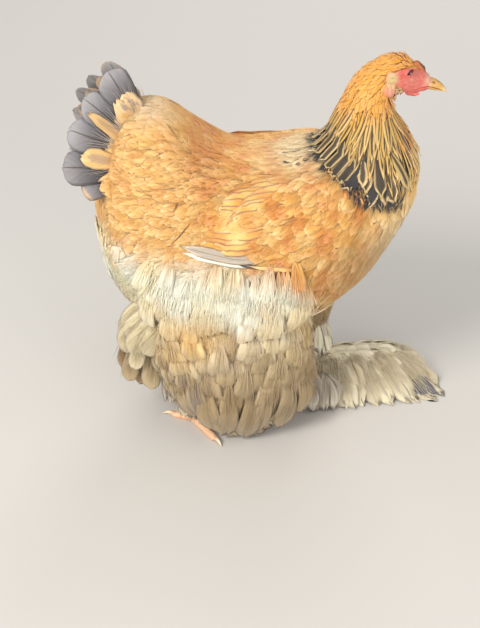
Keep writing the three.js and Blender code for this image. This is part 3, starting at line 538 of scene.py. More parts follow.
def markingsAndShade(p):
    # Buff coat, orange mottling, pale rump streaks, cream belly, gold hood, and painted shade in the saddle's
    # hollow, under the breast and towards the floor: tint at each point.
    x, z = p[:, 0], p[:, 2]
    spots = ripple(p, 34, 1)
    fine = ripple(p, 15, 2)
    front = smooth(120, 175, x)
    c = layered(np.tile(tones["buff"], (len(p), 1)), tones, (
        ("amber", smooth(0.05, 0.8, spots + 0.45 * fine) * 0.75),
        ("straw", smooth(0.1, 0.9, -spots - 0.5 * fine) * 0.8),
        # the cushion over the rump, paler, with painted shade, orange, in the hollow where it meets the back
        ("cushion", (1 - smooth(-75, -35, x)) * 0.6),
        ("dip", near(p, (-40, 40, 348), (26, 60, 34)) * 0.75),
        ("straw", near(p, (-118, 20, 385), (34, 44, 26)) * 0.75),
        # cream between the shoulders
        ("creamBack", near(p, (62, 10, 345), (56, 62, 34))),
        ("ash", near(p, (-100, 14, 392), (54, 32, 20)) * 0.7),
        # the breast: buff fading down to cream, with painted shade, tan, on its underside
        ("straw", front * 0.75),
        ("cream", front * (1 - smooth(235, 300, z)) * 0.55),
        ("tanShade", smooth(60, 130, x) * (1 - smooth(225, 275, z)) * 0.6),
    ))
    gold = mix(tones["hackleEdge"], tones["hood"], smooth(362, 398, z))
    gold = layered(gold, tones, (
        ("throat", smooth(168, 186, x) * (1 - smooth(404, 418, z)) * smooth(330, 352, z) * 0.85),
        ("amber", smooth(440, 452, z) * smooth(172, 190, x) * 0.7),
        ("muff", near(p, (176, 14, 407), (12, 14, 10))),
    ))
    c = mix(c, gold, smooth(318, 350, z) * smooth(70, 100, x))
    fluff = mix(tones["cream"], tones["white"], smooth(-0.3, 0.6, ripple(p, 50, 7)))
    fluff = layered(fluff, tones, (
        ("ash", smooth(0.35, 0.95, ripple(p, 38, 9)) * 0.16),
        ("apricot", smooth(0.2, 0.9, ripple(p, 60, 11)) * 0.4),
        ("apricot", smooth(50, 105, x) * 0.6),
        ("apricot", (1 - smooth(120, 200, z)) * 0.45),
        ("tan", (1 - smooth(50, 180, z)) * 0.7),
    ))
    fluff = fluff * (1 - 0.5 * (1 - smooth(10, 210, z)))[:, None]  # painted shade: darker towards the floor
    fluff = mix(fluff, tones["apricot"], near(p, (-56, 100, 140), (34, 50, 34)))
    below = 1 - smooth(-30, 24, z - bellyLine(p))
    return mix(c, fluff, below * (1 - smooth(318, 350, z)))


print("sizes, looks and markings ready")

# skin: one closed body under the whole coat


skinSizes = {"voxel": 3.4, "smoothing": 8, "softness": 0.5}


def buildSkin():
    # Torso, neck, head and thighs are joined, remeshed as one surface and smoothed.
    parts = []
    stacks = [torsoRings(), neckRings(), headRings()] + [thighRings(leg) for leg in thighs.values()]
    for i, rings in enumerate(stacks):
        points = loftPoints(rings)
        mesh, _ = meshOf(f"flesh{i}", points, outward(points, loftFaces(*rings.shape[:2])))
        parts.append(placed(mesh.name, mesh))
    base = parts[0]
    for other in parts[1:]:
        join = base.modifiers.new("join", "BOOLEAN")
        join.operation, join.solver, join.object = "UNION", "EXACT", other
    remesh = base.modifiers.new("one", "REMESH")
    remesh.mode, remesh.voxel_size = "VOXEL", skinSizes["voxel"] * 0.001
    soften = base.modifiers.new("soft", "SMOOTH")
    soften.factor, soften.iterations = skinSizes["softness"], skinSizes["smoothing"]
    bpy.context.view_layer.update()
    made = bpy.data.meshes.new_from_object(base.evaluated_get(bpy.context.evaluated_depsgraph_get()))
    for obj in parts:
        old = obj.data
        bpy.data.objects.remove(obj)
        bpy.data.meshes.remove(old)
    made.polygons.foreach_set("use_smooth", np.ones(len(made.polygons), bool))
    return made


def readBack(items, key, kind=np.float32):
    # Three numbers of each item, as rows.
    values = np.empty(len(items) * 3, kind)
    items.foreach_get(key, values)
    return values.reshape(-1, 3)


skinMesh = buildSkin()
skinMesh.name = "skin"
skinPoints = (readBack(skinMesh.vertices, "co").astype(float) - shift) * 1000
skinNormals = readBack(skinMesh.vertices, "normal").astype(float)
skinMesh.calc_loop_triangles()
skinTris = readBack(skinMesh.loop_triangles, "vertices", np.int32)
skinTree = BVHTree.FromPolygons(skinPoints.tolist(), skinTris.tolist(), all_triangles=True)
addColour(skinMesh, "tint", markingsAndShade(skinPoints) * 0.9)


def skinMaterial():
    # The hen's colours and painted shade under the coat, with a fine downy speck.
    m, t, shader, height = newMaterial("downySkin", (0.6, 0.0008), {"Roughness": 0.85, "Sheen Weight": 0.2})
    speck = noise(t, objectPlace(t), 420.0, 3.0)
    showTint(t, shader, calc(t, "MULTIPLY_ADD", speck, 0.5, 0.72))
    t.links.new(speck, height)
    return m


addPiece("skin", skinMesh, skinMaterial(), "buff_feather",
         ("torso", "belly", "neck", "head", "thigh_left", "thigh_right", "wing_left", "wing_right"))

# lie of the coat

# A place (x, distance from the midplane, z) and the way a feather points there (x, outward, z).
lieGuides = np.array([
    (205, 4, 430, -1, 0.1, 0.25), (192, 0, 448, -1, 0, 0.35), (172, 0, 453, -1, 0, 0), (150, 0, 445, -1, 0, -0.5),
    (165, 18, 440, -1, 0, -0.25), (150, 20, 425, -0.8, 0, -0.6), (168, 18, 410, -0.5, 0, -0.9),
    (120, 0, 425, -0.6, 0, -0.8), (98, 10, 395, -0.4, 0, -0.92), (85, 20, 350, -0.75, 0.1, -0.65),
    (140, 35, 395, -0.2, 0.1, -0.97), (145, 55, 355, -0.1, 0.2, -0.97), (120, 65, 325, -0.35, 0.2, -0.9),
    (160, 66, 320, 0.05, 0.1, -1), (178, 0, 395, 0.15, 0, -1), (198, 10, 350, 0.12, 0, -1),
    (203, 10, 300, -0.1, 0, -1), (180, 50, 300, -0.1, 0.1, -1), (185, 10, 240, -0.5, 0, -0.85),
    (150, 60, 240, -0.6, 0.1, -0.8), (150, 10, 190, -0.8, 0, -0.6), (130, 85, 300, -0.75, 0.1, -0.65),
    (60, 10, 343, -1, 0.1, 0.0), (20, 0, 333, -1, 0, 0), (40, 90, 320, -0.9, 0.2, -0.35),
    (-20, 90, 320, -0.95, 0.1, -0.22), (60, 118, 260, -0.88, 0, -0.45), (-20, 118, 250, -0.93, 0, -0.35),
    (-40, 0, 352, -1, 0, 0.3), (-80, 20, 386, -0.95, 0, 0.3), (-120, 20, 400, -0.85, 0, 0.5),
    (-60, 90, 345, -0.95, 0.1, 0.1), (-100, 90, 330, -0.98, 0, 0.1), (-120, 90, 300, -0.95, 0, -0.2),
    (-150, 60, 340, -0.8, 0, 0.3), (-90, 108, 260, -0.85, 0, -0.5), (-150, 60, 260, -0.6, 0, -0.8),
    (-160, 20, 240, -0.4, 0, -0.9), (-100, 90, 190, -0.5, 0, -0.87), (0, 115, 200, -0.3, 0, -0.95),
    (80, 90, 190, -0.35, 0, -0.94), (-110, 60, 150, -0.5, 0, -0.85), (110, 50, 150, -0.35, 0, -0.95),
    (0, 0, 130, -0.9, 0, -0.1), (-90, 70, 120, -0.35, 0.1, -0.93), (-20, 112, 120, -0.12, 0, -1),
    (60, 100, 120, 0.05, 0, -1), (100, 60, 100, 0.2, 0, -1), (0, 60, 40, 0, 0, -1), (60, 90, 70, 0.12, 0, -1),
], float)


def lieAt(p):
    # The guides' directions, weighed by the inverse fourth power of their distance.
    q = np.stack([p[:, 0], np.abs(p[:, 1]), p[:, 2]], -1)
    gap = ((q[:, None, :] - lieGuides[None, :, :3]) ** 2).sum(-1)
    weight = 1 / (gap + 60) ** 2
    way = (weight[..., None] * lieGuides[None, :, 3:]).sum(1) / weight.sum(1)[:, None]
    way[:, 1] *= np.clip(p[:, 1] / 12, -1, 1)
    return unit(way)


def skinUnder(p):
    # The nearest point of the skin, and its normal: the corners' normals weighed by the point's place
    # in the triangle, w = (b - p) x (c - p) . n / n . n for corner a.
    found = [skinTree.find_nearest(Vector(q)) for q in p.tolist()]
    spots = np.array([f[0] for f in found])
    corners = skinTris[np.array([f[2] for f in found])]
    a, b, c = (skinPoints[corners[:, i]] for i in range(3))
    whole = np.cross(b - a, c - a)
    area = np.maximum((whole**2).sum(-1), 1e-9)
    wa = (np.cross(b - spots, c - spots) * whole).sum(-1) / area
    wb = (np.cross(c - spots, a - spots) * whole).sum(-1) / area
    weight = np.stack([wa, wb, 1 - wa - wb], -1)
    return spots, unit((skinNormals[corners] * weight[..., None]).sum(1))


def creep(roots, lengths, steps, turn):
    # Centre lines that run over the skin along the lie, each turned by its own angle.
    lines, outs = [], []
    p = roots
    for step in np.append(steps, 0):
        p, out = skinUnder(p)
        lines.append(p)
        outs.append(out)
        way = lieAt(p)
        way = unit(way - (way * out).sum(-1, keepdims=True) * out)
        way = way * np.cos(turn)[:, None] + np.cross(out, way) * np.sin(turn)[:, None]
        p = p + way * (lengths * step)[:, None]
    return np.stack(lines, 1), np.stack(outs, 1)


def sownRoots(spacing, keep, seed, tries=5):
    # Points spread over the skin's triangles by area, thinned so that none is nearer than its spacing.
    r = np.random.default_rng(seed)
    a, b, c = (skinPoints[skinTris[:, i]] for i in range(3))
    middle = (a + b + c) / 3
    area = np.linalg.norm(np.cross(b - a, c - a), axis=1) / 2
    area = np.where(keep(middle), area / spacing(middle) ** 2, 0)
    count = int(area.sum() * tries)
    pick = np.searchsorted(np.cumsum(area) / area.sum(), r.random(count))
    s, t = np.sqrt(r.random((count, 1))), r.random((count, 1))
    spots = a[pick] * (1 - s) + b[pick] * (s * (1 - t)) + c[pick] * (s * t)
    wide = spacing(spots)
    tree = KDTree(count)
    for i, q in enumerate(spots.tolist()):
        tree.insert(q, i)
    tree.balance()
    alive = np.ones(count, bool)
    chosen = []
    for i in range(count):
        if alive[i]:
            chosen.append(i)
            for _, j, _ in tree.find_range(spots[i].tolist(), wide[i]):
                alive[j] = False
    return spots[chosen]


# feathers

outlines = {  # along, half width
    "lance": [(0, 0.5), (0.2, 0.86), (0.45, 1.0), (0.7, 0.8), (0.88, 0.42), (1, 0.06)],
    "disc": [(0, 0.34), (0.25, 0.6), (0.5, 0.85), (0.7, 0.97), (0.79, 1.0), (0.86, 0.95), (0.91, 0.84),
             (0.95, 0.67), (0.98, 0.44), (1, 0.1)],
    "quill": [(0, 0.45), (0.2, 0.75), (0.5, 0.95), (0.8, 1.0), (0.93, 0.72), (1, 0.25)],
    "soft": [(0, 0.35), (0.2, 0.7), (0.5, 0.96), (0.7, 1.0), (0.84, 0.88), (0.93, 0.66), (1, 0.3)],
}


def vaneFaces(rows, cols):
    # Upper side of rows x cols points, a lower side on its two edges and a keel line between them.
    half = cols // 2
    at = lambda k, j: k * cols + j
    keel = lambda k: at(k, half) if k in (0, rows - 1) else rows * cols + k - 1
    quads = gridQuads(rows, cols).tolist()
    ends = []
    for k in range(rows - 1):
        left = [at(k, 0), at(k + 1, 0), keel(k + 1), keel(k)]
        right = [keel(k), keel(k + 1), at(k + 1, cols - 1), at(k, cols - 1)]
        if k == 0:
            left += [at(0, j) for j in range(half - 1, 0, -1)]
            right += [at(0, j) for j in range(cols - 2, half, -1)]
        if k == rows - 2:
            left[2:2] = [at(k + 1, j) for j in range(1, half)]
            right[2:2] = [at(k + 1, j) for j in range(half + 1, cols - 1)]
        (quads if len(left) == 4 else ends).extend([left, right])
    return [np.array(quads), np.array(ends)]


def eased(rows, form):
    # Row places along a feather, closer together near its tip.
    return 1 - (1 - np.linspace(0, 1, rows)) ** form.get("ease", 1.0)


def spreadOf(value, n):
    # One number for each of n feathers, from one value or from n.
    return np.broadcast_to(np.asarray(value, float), (n,)).astype(float)


def axes(lines, outs):
    # Along, out of and across a feather at each row of its line: the last is the cross of the other two.
    run = unit(np.gradient(lines, axis=1))
    out = unit(outs - (outs * run).sum(-1, keepdims=True) * run)
    return run, out, np.cross(run, out)


def vanes(lines, outs, width, form, seed):
    # Each vane: points across its width at every row of its centre line. The half width follows the
    # outline, the edges dip by cup, a roll lifts one edge, and the last rows are frayed at random.
    # With a height by row, the vane bends with the skin: P(u) = C + u (R - L) / 2 + u^2 ((R + L) / 2 - C).
    r = np.random.default_rng(seed)
    n, rows, _ = lines.shape
    cols = form.get("cols", 5)
    v = eased(rows, form)
    u = np.linspace(-1, 1, cols)
    length = np.linalg.norm(np.diff(lines, axis=1), axis=-1).sum(1)
    run, out, across = axes(lines, outs)
    roll = spreadOf(form.get("roll", 0.0), n)[:, None, None]
    half = fair(outlines[form["outline"]], v)[:, 0][None, :] * (spreadOf(width, n) / 2)[:, None]
    fray = form.get("fray", 0.05)
    wobble = 1 + r.uniform(-1, 1, (n, rows, 2)) * fray * np.linspace(0.3, 1.6, rows)[None, :, None]
    edge = np.where(u < 0, wobble[:, :, :1], wobble[:, :, 1:]) * u
    late = np.clip((v - 0.55) / 0.45, 0, 1) ** 2
    pull = -form.get("rounding", 0.05) * np.abs(u) ** 2.2
    teeth = r.uniform(-1, 0.6, (n, 1, cols)) * fray * 1.4
    slide = (pull[None, None, :] * v[None, :, None] ** 3 + teeth * late[None, :, None]) * length[:, None, None]
    dip = -form.get("cup", 0.2) * u[None, None, :] ** 2 * half[..., None]
    thick = form.get("thick", 0.5) * (1 - 0.5 * v)
    if "height" in form:
        edges = [skinUnder((lines + way * across * half[..., None]).reshape(-1, 3)) for way in (-1, 1)]
        left, leftOut, right, rightOut = (part.reshape(n, rows, 3) for pair in edges for part in pair)
        e = edge[..., None]
        bowl = lambda a, b, c: (
            b[:, :, None] + e * (c - a)[:, :, None] / 2 + e**2 * ((c + a) / 2 - b)[:, :, None])
        up = unit(bowl(leftOut, outs, rightOut))
        rise = form["height"][:, :, None] + dip + roll * edge * half[..., None]
        body = bowl(left, lines, right) + up * rise[..., None] + run[:, :, None, :] * slide[..., None]
    else:
        across, out = across * np.cos(roll) + out * np.sin(roll), out * np.cos(roll) - across * np.sin(roll)
        body = (
            lines[:, :, None, :] + across[:, :, None, :] * (edge * half[..., None])[..., None]
            + out[:, :, None, :] * dip[..., None] + run[:, :, None, :] * slide[..., None]
        )
    keel = body[:, 1:-1, cols // 2, :] - out[:, 1:-1, :] * thick[None, 1:-1, None]
    points = np.concatenate([body.reshape(n, -1, 3), keel], axis=1)
    row = np.linspace(0, 1, rows)
    grid = np.stack([*np.meshgrid((u + 1) / 2, v), np.meshgrid(u, row)[1]], -1).reshape(-1, 3)
    place = np.vstack([grid, np.stack([np.full(rows - 2, 0.5), v[1:-1], row[1:-1]], -1)])
    return points, place, vaneFaces(rows, cols), rows * cols


def plumes(lines, outs, width, form, seed):
    # Down: a few thin three-sided barbs that leave one root and part along the line.
    r = np.random.default_rng(seed)
    n, rows, _ = lines.shape
    barbs = form.get("barbs", 5)
    v = np.linspace(0, 1, rows)
    _, out, across = axes(lines, outs)
    fan = np.linspace(-1, 1, barbs)[None, :] + r.uniform(-0.25, 0.25, (n, barbs))
    fan = fan * (spreadOf(width, n) / 2)[:, None]
    lift = r.uniform(-0.25, 1, (n, barbs)) * form.get("puff", 3.0)
    reach = r.uniform(0.72, 1.0, (n, barbs, 1))
    at = v[None, None, :] * reach * (rows - 1)
    low = np.clip(np.floor(at).astype(int), 0, rows - 2)
    part = (at - low)[..., None]
    who = np.arange(n)[:, None, None]
    centre = lines[who, low] * (1 - part) + lines[who, low + 1] * part
    aside, up = across[who, low], out[who, low]
    centre = centre + aside * (fan[..., None] * v**0.8)[..., None] + up * (lift[..., None] * v**1.6)[..., None]
    thick = form.get("barb", 1.1) * (1 - v) ** 0.6
    angle = np.array([0.5, 1.1667, 1.8333]) * math.pi
    ringed = (
        centre[..., None, :] + aside[..., None, :] * (np.cos(angle)[:, None] * thick[:, None, None] * 1.5)
        + up[..., None, :] * (np.sin(angle)[:, None] * thick[:, None, None] * 0.8)
    )[:, :, :-1]
    tips = centre[:, :, -1]
    points = np.concatenate([ringed.reshape(n, barbs, -1, 3), tips[:, :, None, :]], axis=2).reshape(n, -1, 3)
    each = (rows - 1) * 3 + 1
    quads = gridQuads(rows - 1, 3, True)[:, ::-1]
    last = (rows - 2) * 3
    tris = np.array([[0, 1, 2]] + [[last + (j + 1) % 3, last + j, each - 1] for j in range(3)])
    quads = np.concatenate([quads + b * each for b in range(barbs)])
    tris = np.concatenate([tris + b * each for b in range(barbs)])
    down = np.append(np.repeat(v[:-1], 3), 1.0)
    perBarb = np.stack([np.full(len(down), 0.5), down, down], -1)
    place = np.concatenate([perBarb + [(b - barbs / 2 + 0.5) * 0.12, 0, 0] for b in range(barbs)])
    return points, place, [quads, tris], points.shape[1]


def coatPiece(name, batches, material, slot, stands=()):
    # batches: (shapes, looks, patches). A look is tint, heart, spread and tone of each feather, the colours
    # also row by row; a patch is the feather's place on the unwrapped skin and its size there.
    allPoints, sets, rounded, vane, baked = [], {}, {}, [], []
    looks = {"tint": [], "heart": [], "spread": [], "tone": []}
    offset = 0
    for (points, place, faces, upper), look, (spot, size) in batches:
        n, each, _ = points.shape
        shiftBy = (np.arange(n) * each + offset)[:, None, None]
        for f in faces:
            sets.setdefault(f.shape[1], []).append((f[None] + shiftBy).reshape(-1, f.shape[1]))
            rounded.setdefault(f.shape[1], []).append(np.tile((f < upper).all(axis=1), n))
        allPoints.append(points.reshape(-1, 3))
        vane.append(np.tile(place[:, :2], (n, 1)))
        spot = np.clip(spot, 0.01, 0.985)
        baked.append((spot[:, None, :] + (place[None, :, :2] - [0.5, 0.0]) * np.asarray(size)).reshape(-1, 2))
        for key in looks:
            value = np.asarray(look[key], float)
            if value.ndim == 3:
                row = np.rint(place[:, 2] * (value.shape[1] - 1)).astype(int)
                looks[key].append(value[:, row].reshape(-1, 3))
            else:
                looks[key].append(np.repeat(value, each, axis=0))
        offset += n * each
    points = np.concatenate(allPoints)
    keepAbove(points, 0.5)
    mesh, order = meshOf(name, points, [np.concatenate(s) for _, s in sorted(sets.items())])
    # only the upper side is shaded round, so that no edge darkens
    upperSide = np.concatenate([np.concatenate(r) for _, r in sorted(rounded.items())])
    mesh.polygons.foreach_set("use_smooth", upperSide)
    addCorners(mesh, "Vane", np.concatenate(vane)[order])
    addCorners(mesh, "OFBake", np.concatenate(baked)[order])
    for key in ("tint", "heart"):
        addColour(mesh, key, np.concatenate(looks[key]))
    for key in ("spread", "tone"):
        addNumber(mesh, key, np.concatenate(looks[key]))
    addPiece(name, mesh, material, slot, stands)


def bodyUnwrap(p):
    # Unrolled about a lengthwise axis: along the body, and round it.
    return np.stack([(p[:, 0] + 180) / 400, np.arctan2(p[:, 1], p[:, 2] - 250) / (2 * math.pi) + 0.5], -1)


def neckUnwrap(p):
    # Unrolled about an upright axis: round the neck, and up it.
    return np.stack([np.arctan2(p[:, 1], p[:, 0] - 150) / (2 * math.pi) + 0.5, (p[:, 2] - 270) / 200], -1)


def legUnwrap(p):
    # The two legs unrolled side by side: round the leg, and up it.
    middle = np.where(p[:, 1] < 0, thighs["right"]["x"], thighs["left"]["x"])
    around = np.arctan2(np.abs(p[:, 1]) - 62, p[:, 0] - middle) / (2 * math.pi) + 0.5
    return np.stack([around * 0.48 + np.where(p[:, 1] < 0, 0.0, 0.5), p[:, 2] / 210], -1)


tuftPatch = (0.003, 0.003)  # a small feather's share of the unwrapped skin


def plainLook(tints, hearts, spread, r):
    # A look with its own tone, picked at random, for each feather.
    n = len(tints)
    return {"tint": tints, "heart": hearts, "spread": spreadOf(spread, n), "tone": r.random(n)}


# tracts of small feathers


def inHead(p):
    # A place in the head's own frame: forward, across, up.
    a = headPlace["pitch"]
    dx, dz = p[:, 0] - headPlace["x"], p[:, 2] - headPlace["z"]
    return dx * math.cos(a) - dz * math.sin(a), p[:, 1], dx * math.sin(a) + dz * math.cos(a)


bareTop = [(-6, 3.0), (-1, 8.2), (5, 10.2), (9, 11.2), (14, 11.4), (19, 9.8), (24, 9.2), (30, 10.5), (37, 14)]
bareLow = [(-6, -12), (0, -11), (5, -12), (9.5, -15.5), (13, -20.5), (18, -24.5), (28, -24), (37, -22)]


def bareness(hx, hz, edge=1.2):
    # 1 on the bare face and the pale patch round the ear, 0 under feathers.
    top, low = fair(bareTop, hx)[..., 0], fair(bareLow, hx)[..., 0]
    face = smooth(-4.5 - edge, -4.5 + edge, hx) * smooth(-edge, edge, top - hz) * smooth(-edge, edge, hz - low)
    ear = 1 - smooth(0.85, 1.15, np.hypot((hx + 5.6) / 7.6, (hz + 3.2) / 9.6))
    return np.maximum(face, ear)


def faceArea(p):
    # Where the bare face, the comb, the lobes and the bill leave no feathers.
    hx, hy, hz = inHead(p)
    bare = (bareness(hx, hz) > 0.75) & (hz > -24) & (hx > -15)
    combBed = (hx > 19.5) & (np.abs(hy) < 4.0) & (hz > 8)
    return bare | combBed | ((hx > 31) & (hz > -26))


def hoodArea(p):
    # Above the neck's upper level, outside the bare face.
    return (p[:, 2] > 393) & ~faceArea(p)


def hackleLine(p):
    # Lowest level of the hackle's roots: lower at the breast than behind the neck.
    return 322 + 0.42 * np.maximum(0, 150 - p[:, 0])


def hackleArea(p):
    # The neck's sides and back, down to the hackle's line.
    return (p[:, 2] <= 393) & (p[:, 2] > hackleLine(p)) & (p[:, 0] > 75) & (p[:, 0] < 186)


def throatArea(p):
    # The neck's front.
    return (p[:, 2] <= 393) & (p[:, 2] > 322) & (p[:, 0] >= 186)


def wingArea(p):
    # Within the wing's section angles, seen from the torso's axis.
    s = fair(torsoStations, p[:, 0])
    tall, mid = (s[:, 1] - s[:, 0]) / 2, (s[:, 1] + s[:, 0]) / 2
    w = fair(wingStations, np.clip(p[:, 0], -22, 142))
    n = np.clip((p[:, 2] - mid) / tall, -1, 1)
    angle = np.degrees(np.arctan2(np.sign(n) * np.abs(n) ** 1.125, np.abs(p[:, 1] / s[:, 2]) ** 1.125))
    return (p[:, 0] > -40) & (p[:, 0] < 138) & (angle > w[:, 0] - 2) & (angle < w[:, 1]) & (p[:, 2] < 330)


def fluffArea(p):
    # Below the belly's line.
    return (p[:, 2] < bellyLine(p)) & (p[:, 2] < 300)


def buffArea(p):
    # All that the other tracts leave free below the head.
    return ~(fluffArea(p) | wingArea(p) | hackleArea(p) | throatArea(p)) & (p[:, 2] <= 393)


def tractOf(p):
    # Later tracts cover earlier ones, and the bare face covers all.
    kind = np.full(len(p), "bare", "<U8")
    tracts = {"body": buffArea, "wing": wingArea, "fluff": fluffArea, "throat": throatArea,
              "hackle": hackleArea, "hood": hoodArea}
    for tract, test in tracts.items():
        kind[test(p)] = tract
    kind[faceArea(p)] = "bare"
    return kind


def heights(lines, r, sizes, roots, form):
    # How far each row stands off the skin: base at the root, lift more at the tip, and soft billows.
    n, rows, _ = lines.shape
    v = eased(rows, form)[None, :]
    lift = sized(sizes["lift"], roots) * r.uniform(0.8, 1.2, n)
    curl = sizes.get("curl", 0) * r.uniform(-0.3, 1, n)
    height = sized(sizes["base"], roots)[:, None] + lift[:, None] * v ** sizes.get("bend", 1.3)
    height = height + curl[:, None] * v**4
    tall, size = sizes.get("billow", (0, 40))
    if tall:
        height = height + tall * ripple(lines.reshape(-1, 3) * [1, 1, 0.45], size, 77).reshape(n, rows)
    return height


def markingsAndShadeAt(lines):
    # The hen's colours and painted shade at each row of each line.
    return markingsAndShade(lines.reshape(-1, 3)).reshape(lines.shape)


def lookOf(lines, r, vary=0.04):
    # The hen's colours and painted shade along each feather's line, so that neighbours blend; the heart a little
    # darker.
    tint = markingsAndShadeAt(lines) * (1 + r.uniform(-vary, vary, (len(lines), 1, 1)))
    return plainLook(np.clip(tint, 0, 1), np.clip(tint * 0.9, 0, 1), 0, r)


def sized(value, p):
    # A size for each root, from a function of its place or from one number.
    return value(p) if callable(value) else np.full(len(p), float(value))


def sow(name, tract, sizes, seed, parts, material, slot, unwrap=bodyUnwrap):
    # Sows roots over a tract, lays a line from each along the coat, and gives every line its feather.
    r = np.random.default_rng(seed)
    roots = sownRoots(lambda p: sized(sizes["spacing"], p), lambda p: tractOf(p) == tract, seed)
    n = len(roots)
    form = dict(sizes["form"], roll=r.normal(0, sizes.get("roll", 0.03), n))
    length = sized(sizes["length"], roots) * r.uniform(0.85, 1.15, n)
    width = sized(sizes["width"], roots) * r.uniform(0.88, 1.12, n)
    steps = np.diff(eased(sizes["rows"], form))
    lines, outs = creep(roots, length, steps, r.normal(0, sizes["turn"], n))
    height = heights(lines, r, sizes, roots, form)
    look = lookOf(lines, r, 0.03)
    if sizes.get("hugs"):
        form["height"] = height
    else:
        lines = lines + outs * height[..., None]
        keepAbove(lines, 1.5)
    if "paint" in sizes:
        sizes["paint"](roots, look, r)
    patches = unwrap(roots)
    points, place, faces, upper = sizes.get("make", vanes)(lines, outs, width, form, seed + 1)
    keepAbove(points, 0.6)
    for key, keep in parts.items():
        kept = keep(roots)
        shape = (points[kept], place, faces, upper)
        own = {k: v[kept] for k, v in look.items()}
        coatPiece(name + key, [(shape, own, (patches[kept], tuftPatch))], material, slot)


def paintBody(p, look, r):
    # Black ticks between the shoulders.
    ticks = near(p, (80, 24, 343), (22, 26, 20)) * (p[:, 2] > 325)
    dark = r.random(len(p)) < ticks * 0.4
    look["heart"][dark] = tones["capeDark"]
    look["spread"][dark] = r.uniform(0.25, 0.4, dark.sum())


def breastFullness(p):
    # 1 at the front of the breast, 0 a hand's breadth away.
    return near(p, (204, 0, 310), (44, 60, 60))


bothSides = {"_right": lambda p: p[:, 1] < 0, "_left": lambda p: p[:, 1] >= 0}
oneSide = {"": lambda p: np.ones(len(p), bool)}
softForm = {"outline": "soft", "cols": 7, "fray": 0.05, "cup": 0.02, "thick": 0.2, "ease": 1.3}
bodySizes = {
    "spacing": 8.3, "length": 38, "width": 18, "lift": 1.3, "base": lambda p: 2.8 + 4.2 * breastFullness(p),
    "turn": 0.08, "rows": 9, "hugs": True, "paint": paintBody, "billow": (1.4, 46), "form": softForm,
}
sow("coat_body", "body", bodySizes, 101, bothSides, buffFeather, "buff_feather")
wingSizes = {
    "spacing": 8.0, "length": 36, "width": 17, "lift": 1.5, "base": 2.8, "turn": 0.08, "rows": 9, "hugs": True,
    "billow": (0.8, 46), "form": dict(softForm, cup=0.03, thick=0.25),
}
sow("coat_wing", "wing", wingSizes, 111, bothSides, buffFeather, "buff_feather")
wispSizes = {
    "spacing": 6.6, "length": 24, "width": 13, "lift": 1.3, "base": lambda p: 4.2 + 4.2 * breastFullness(p),
    "turn": 0.14, "rows": 5, "make": plumes, "billow": (1.4, 46), "form": {"barbs": 4, "puff": 0.3, "barb": 0.3},
}
sow("coat_wisps", "body", wispSizes, 115, bothSides, buffFeather, "buff_feather")
sow("wing_wisps", "wing", dict(wispSizes, billow=(0.8, 46)), 117, bothSides, buffFeather, "buff_feather")
print("body and wing coverts laid")


def darkShafts():
    # Three bare quills that show dark between the saddle's feathers and along the wing's edge.
    batches = []
    for side in sides.values():
        start = np.array([(-77, 30, 397), (-65, 112, 324), (-53, 118, 299)]) * [1, side, 1]
        end = np.array([(-60, 50, 370), (-73, 112, 309), (-78, 112, 268)]) * [1, side, 1]
        v = np.linspace(0, 1, 9)[None, :, None]
        along = start[:, None] * (1 - v) + end[:, None] * v
        spots, outs = (a.reshape(3, 9, 3) for a in skinUnder(along.reshape(-1, 3)))
        lines = spots + outs * (5.2 - 1.5 * np.abs(2 * v - 1) ** 3)
        shape = vanes(lines, outs, np.array([1.4, 1.2, 1.4]), {"outline": "lance", "thick": 0.5}, 119)
        look = {"tint": np.tile(tones["quill"], (3, 1)), "heart": np.tile(tones["quill"], (3, 1)),
                "spread": np.zeros(3), "tone": np.full(3, 0.5)}
        batches.append((shape, look, (bodyUnwrap(lines[:, 0]), tuftPatch)))
    coatPiece("coat_shafts", batches, slateFeather, "slate_feather")


darkShafts()


def hoodAge(p):
    # 0 at the bill, 1 at the lower end of the hood.
    return np.clip((200 - p[:, 0]) / 60, 0, 1) * 0.5 + smooth(446, 396, p[:, 2]) * 0.5


def chin(p):
    # The underside of the head behind the jaw, where the feathers stand out and fill the corner.
    hx, _, hz = inHead(p)
    return np.exp(-((hx - 5) ** 2) / 90 - (hz + 25) ** 2 / 90)


def crownFullness(p):
    # The rounded forehead above the eyes, up to the comb.
    hx, _, hz = inHead(p)
    return np.exp(-((hx - 12) ** 2) / 110) * smooth(9.5, 13.5, hz)


hoodSizes = {
    "spacing": lambda p: 2.4 + 1.9 * hoodAge(p), "length": lambda p: 8 + 13 * hoodAge(p),
    "width": lambda p: 3.6 + 4.0 * hoodAge(p), "turn": 0.1, "rows": 6, "hugs": True,
    "lift": lambda p: 0.4 + 1.1 * hoodAge(p) + 5.0 * chin(p) + 2.6 * crownFullness(p),
    "base": lambda p: 0.5 + 1.5 * chin(p) + 2.4 * crownFullness(p),
    "form": {"outline": "lance", "cols": 5, "fray": 0.06, "cup": 0.08, "thick": 0.2},
}
sow("coat_hood", "hood", hoodSizes, 121, oneSide, hoodFeather, "buff_feather", neckUnwrap)


def paintHackle(p, look, r):
    # Dark hearts that widen down the cape; the lowest row is slate with a thin pale edge.
    n = len(p)
    above = p[:, 2] - hackleLine(p)
    down = 1 - smooth(0, 62, above)
    behind = 1 - smooth(100, 150, p[:, 0])
    spread = 0.42 + 0.3 * down + 0.16 * behind + r.uniform(-0.1, 0.1, n)
    spread *= (1 - 0.6 * smooth(166, 184, p[:, 0])) * (1 - 0.6 * smooth(368, 392, p[:, 2]))
    lowest = (above < 33) & (p[:, 0] > 88) & (p[:, 0] < 184) & (r.random(n) < 0.88)
    heart = np.tile(tones["hackleDark"], (n, 1)) * r.uniform(0.75, 1.15, (n, 1))
    heart[lowest] = tones["capeDark"] * r.uniform(0.8, 1.2, (lowest.sum(), 1))
    spread[lowest] = r.uniform(1.0, 1.5, lowest.sum())
    look["heart"], look["spread"] = heart, np.clip(spread, 0, 1)
    look["tint"][lowest] *= 0.5


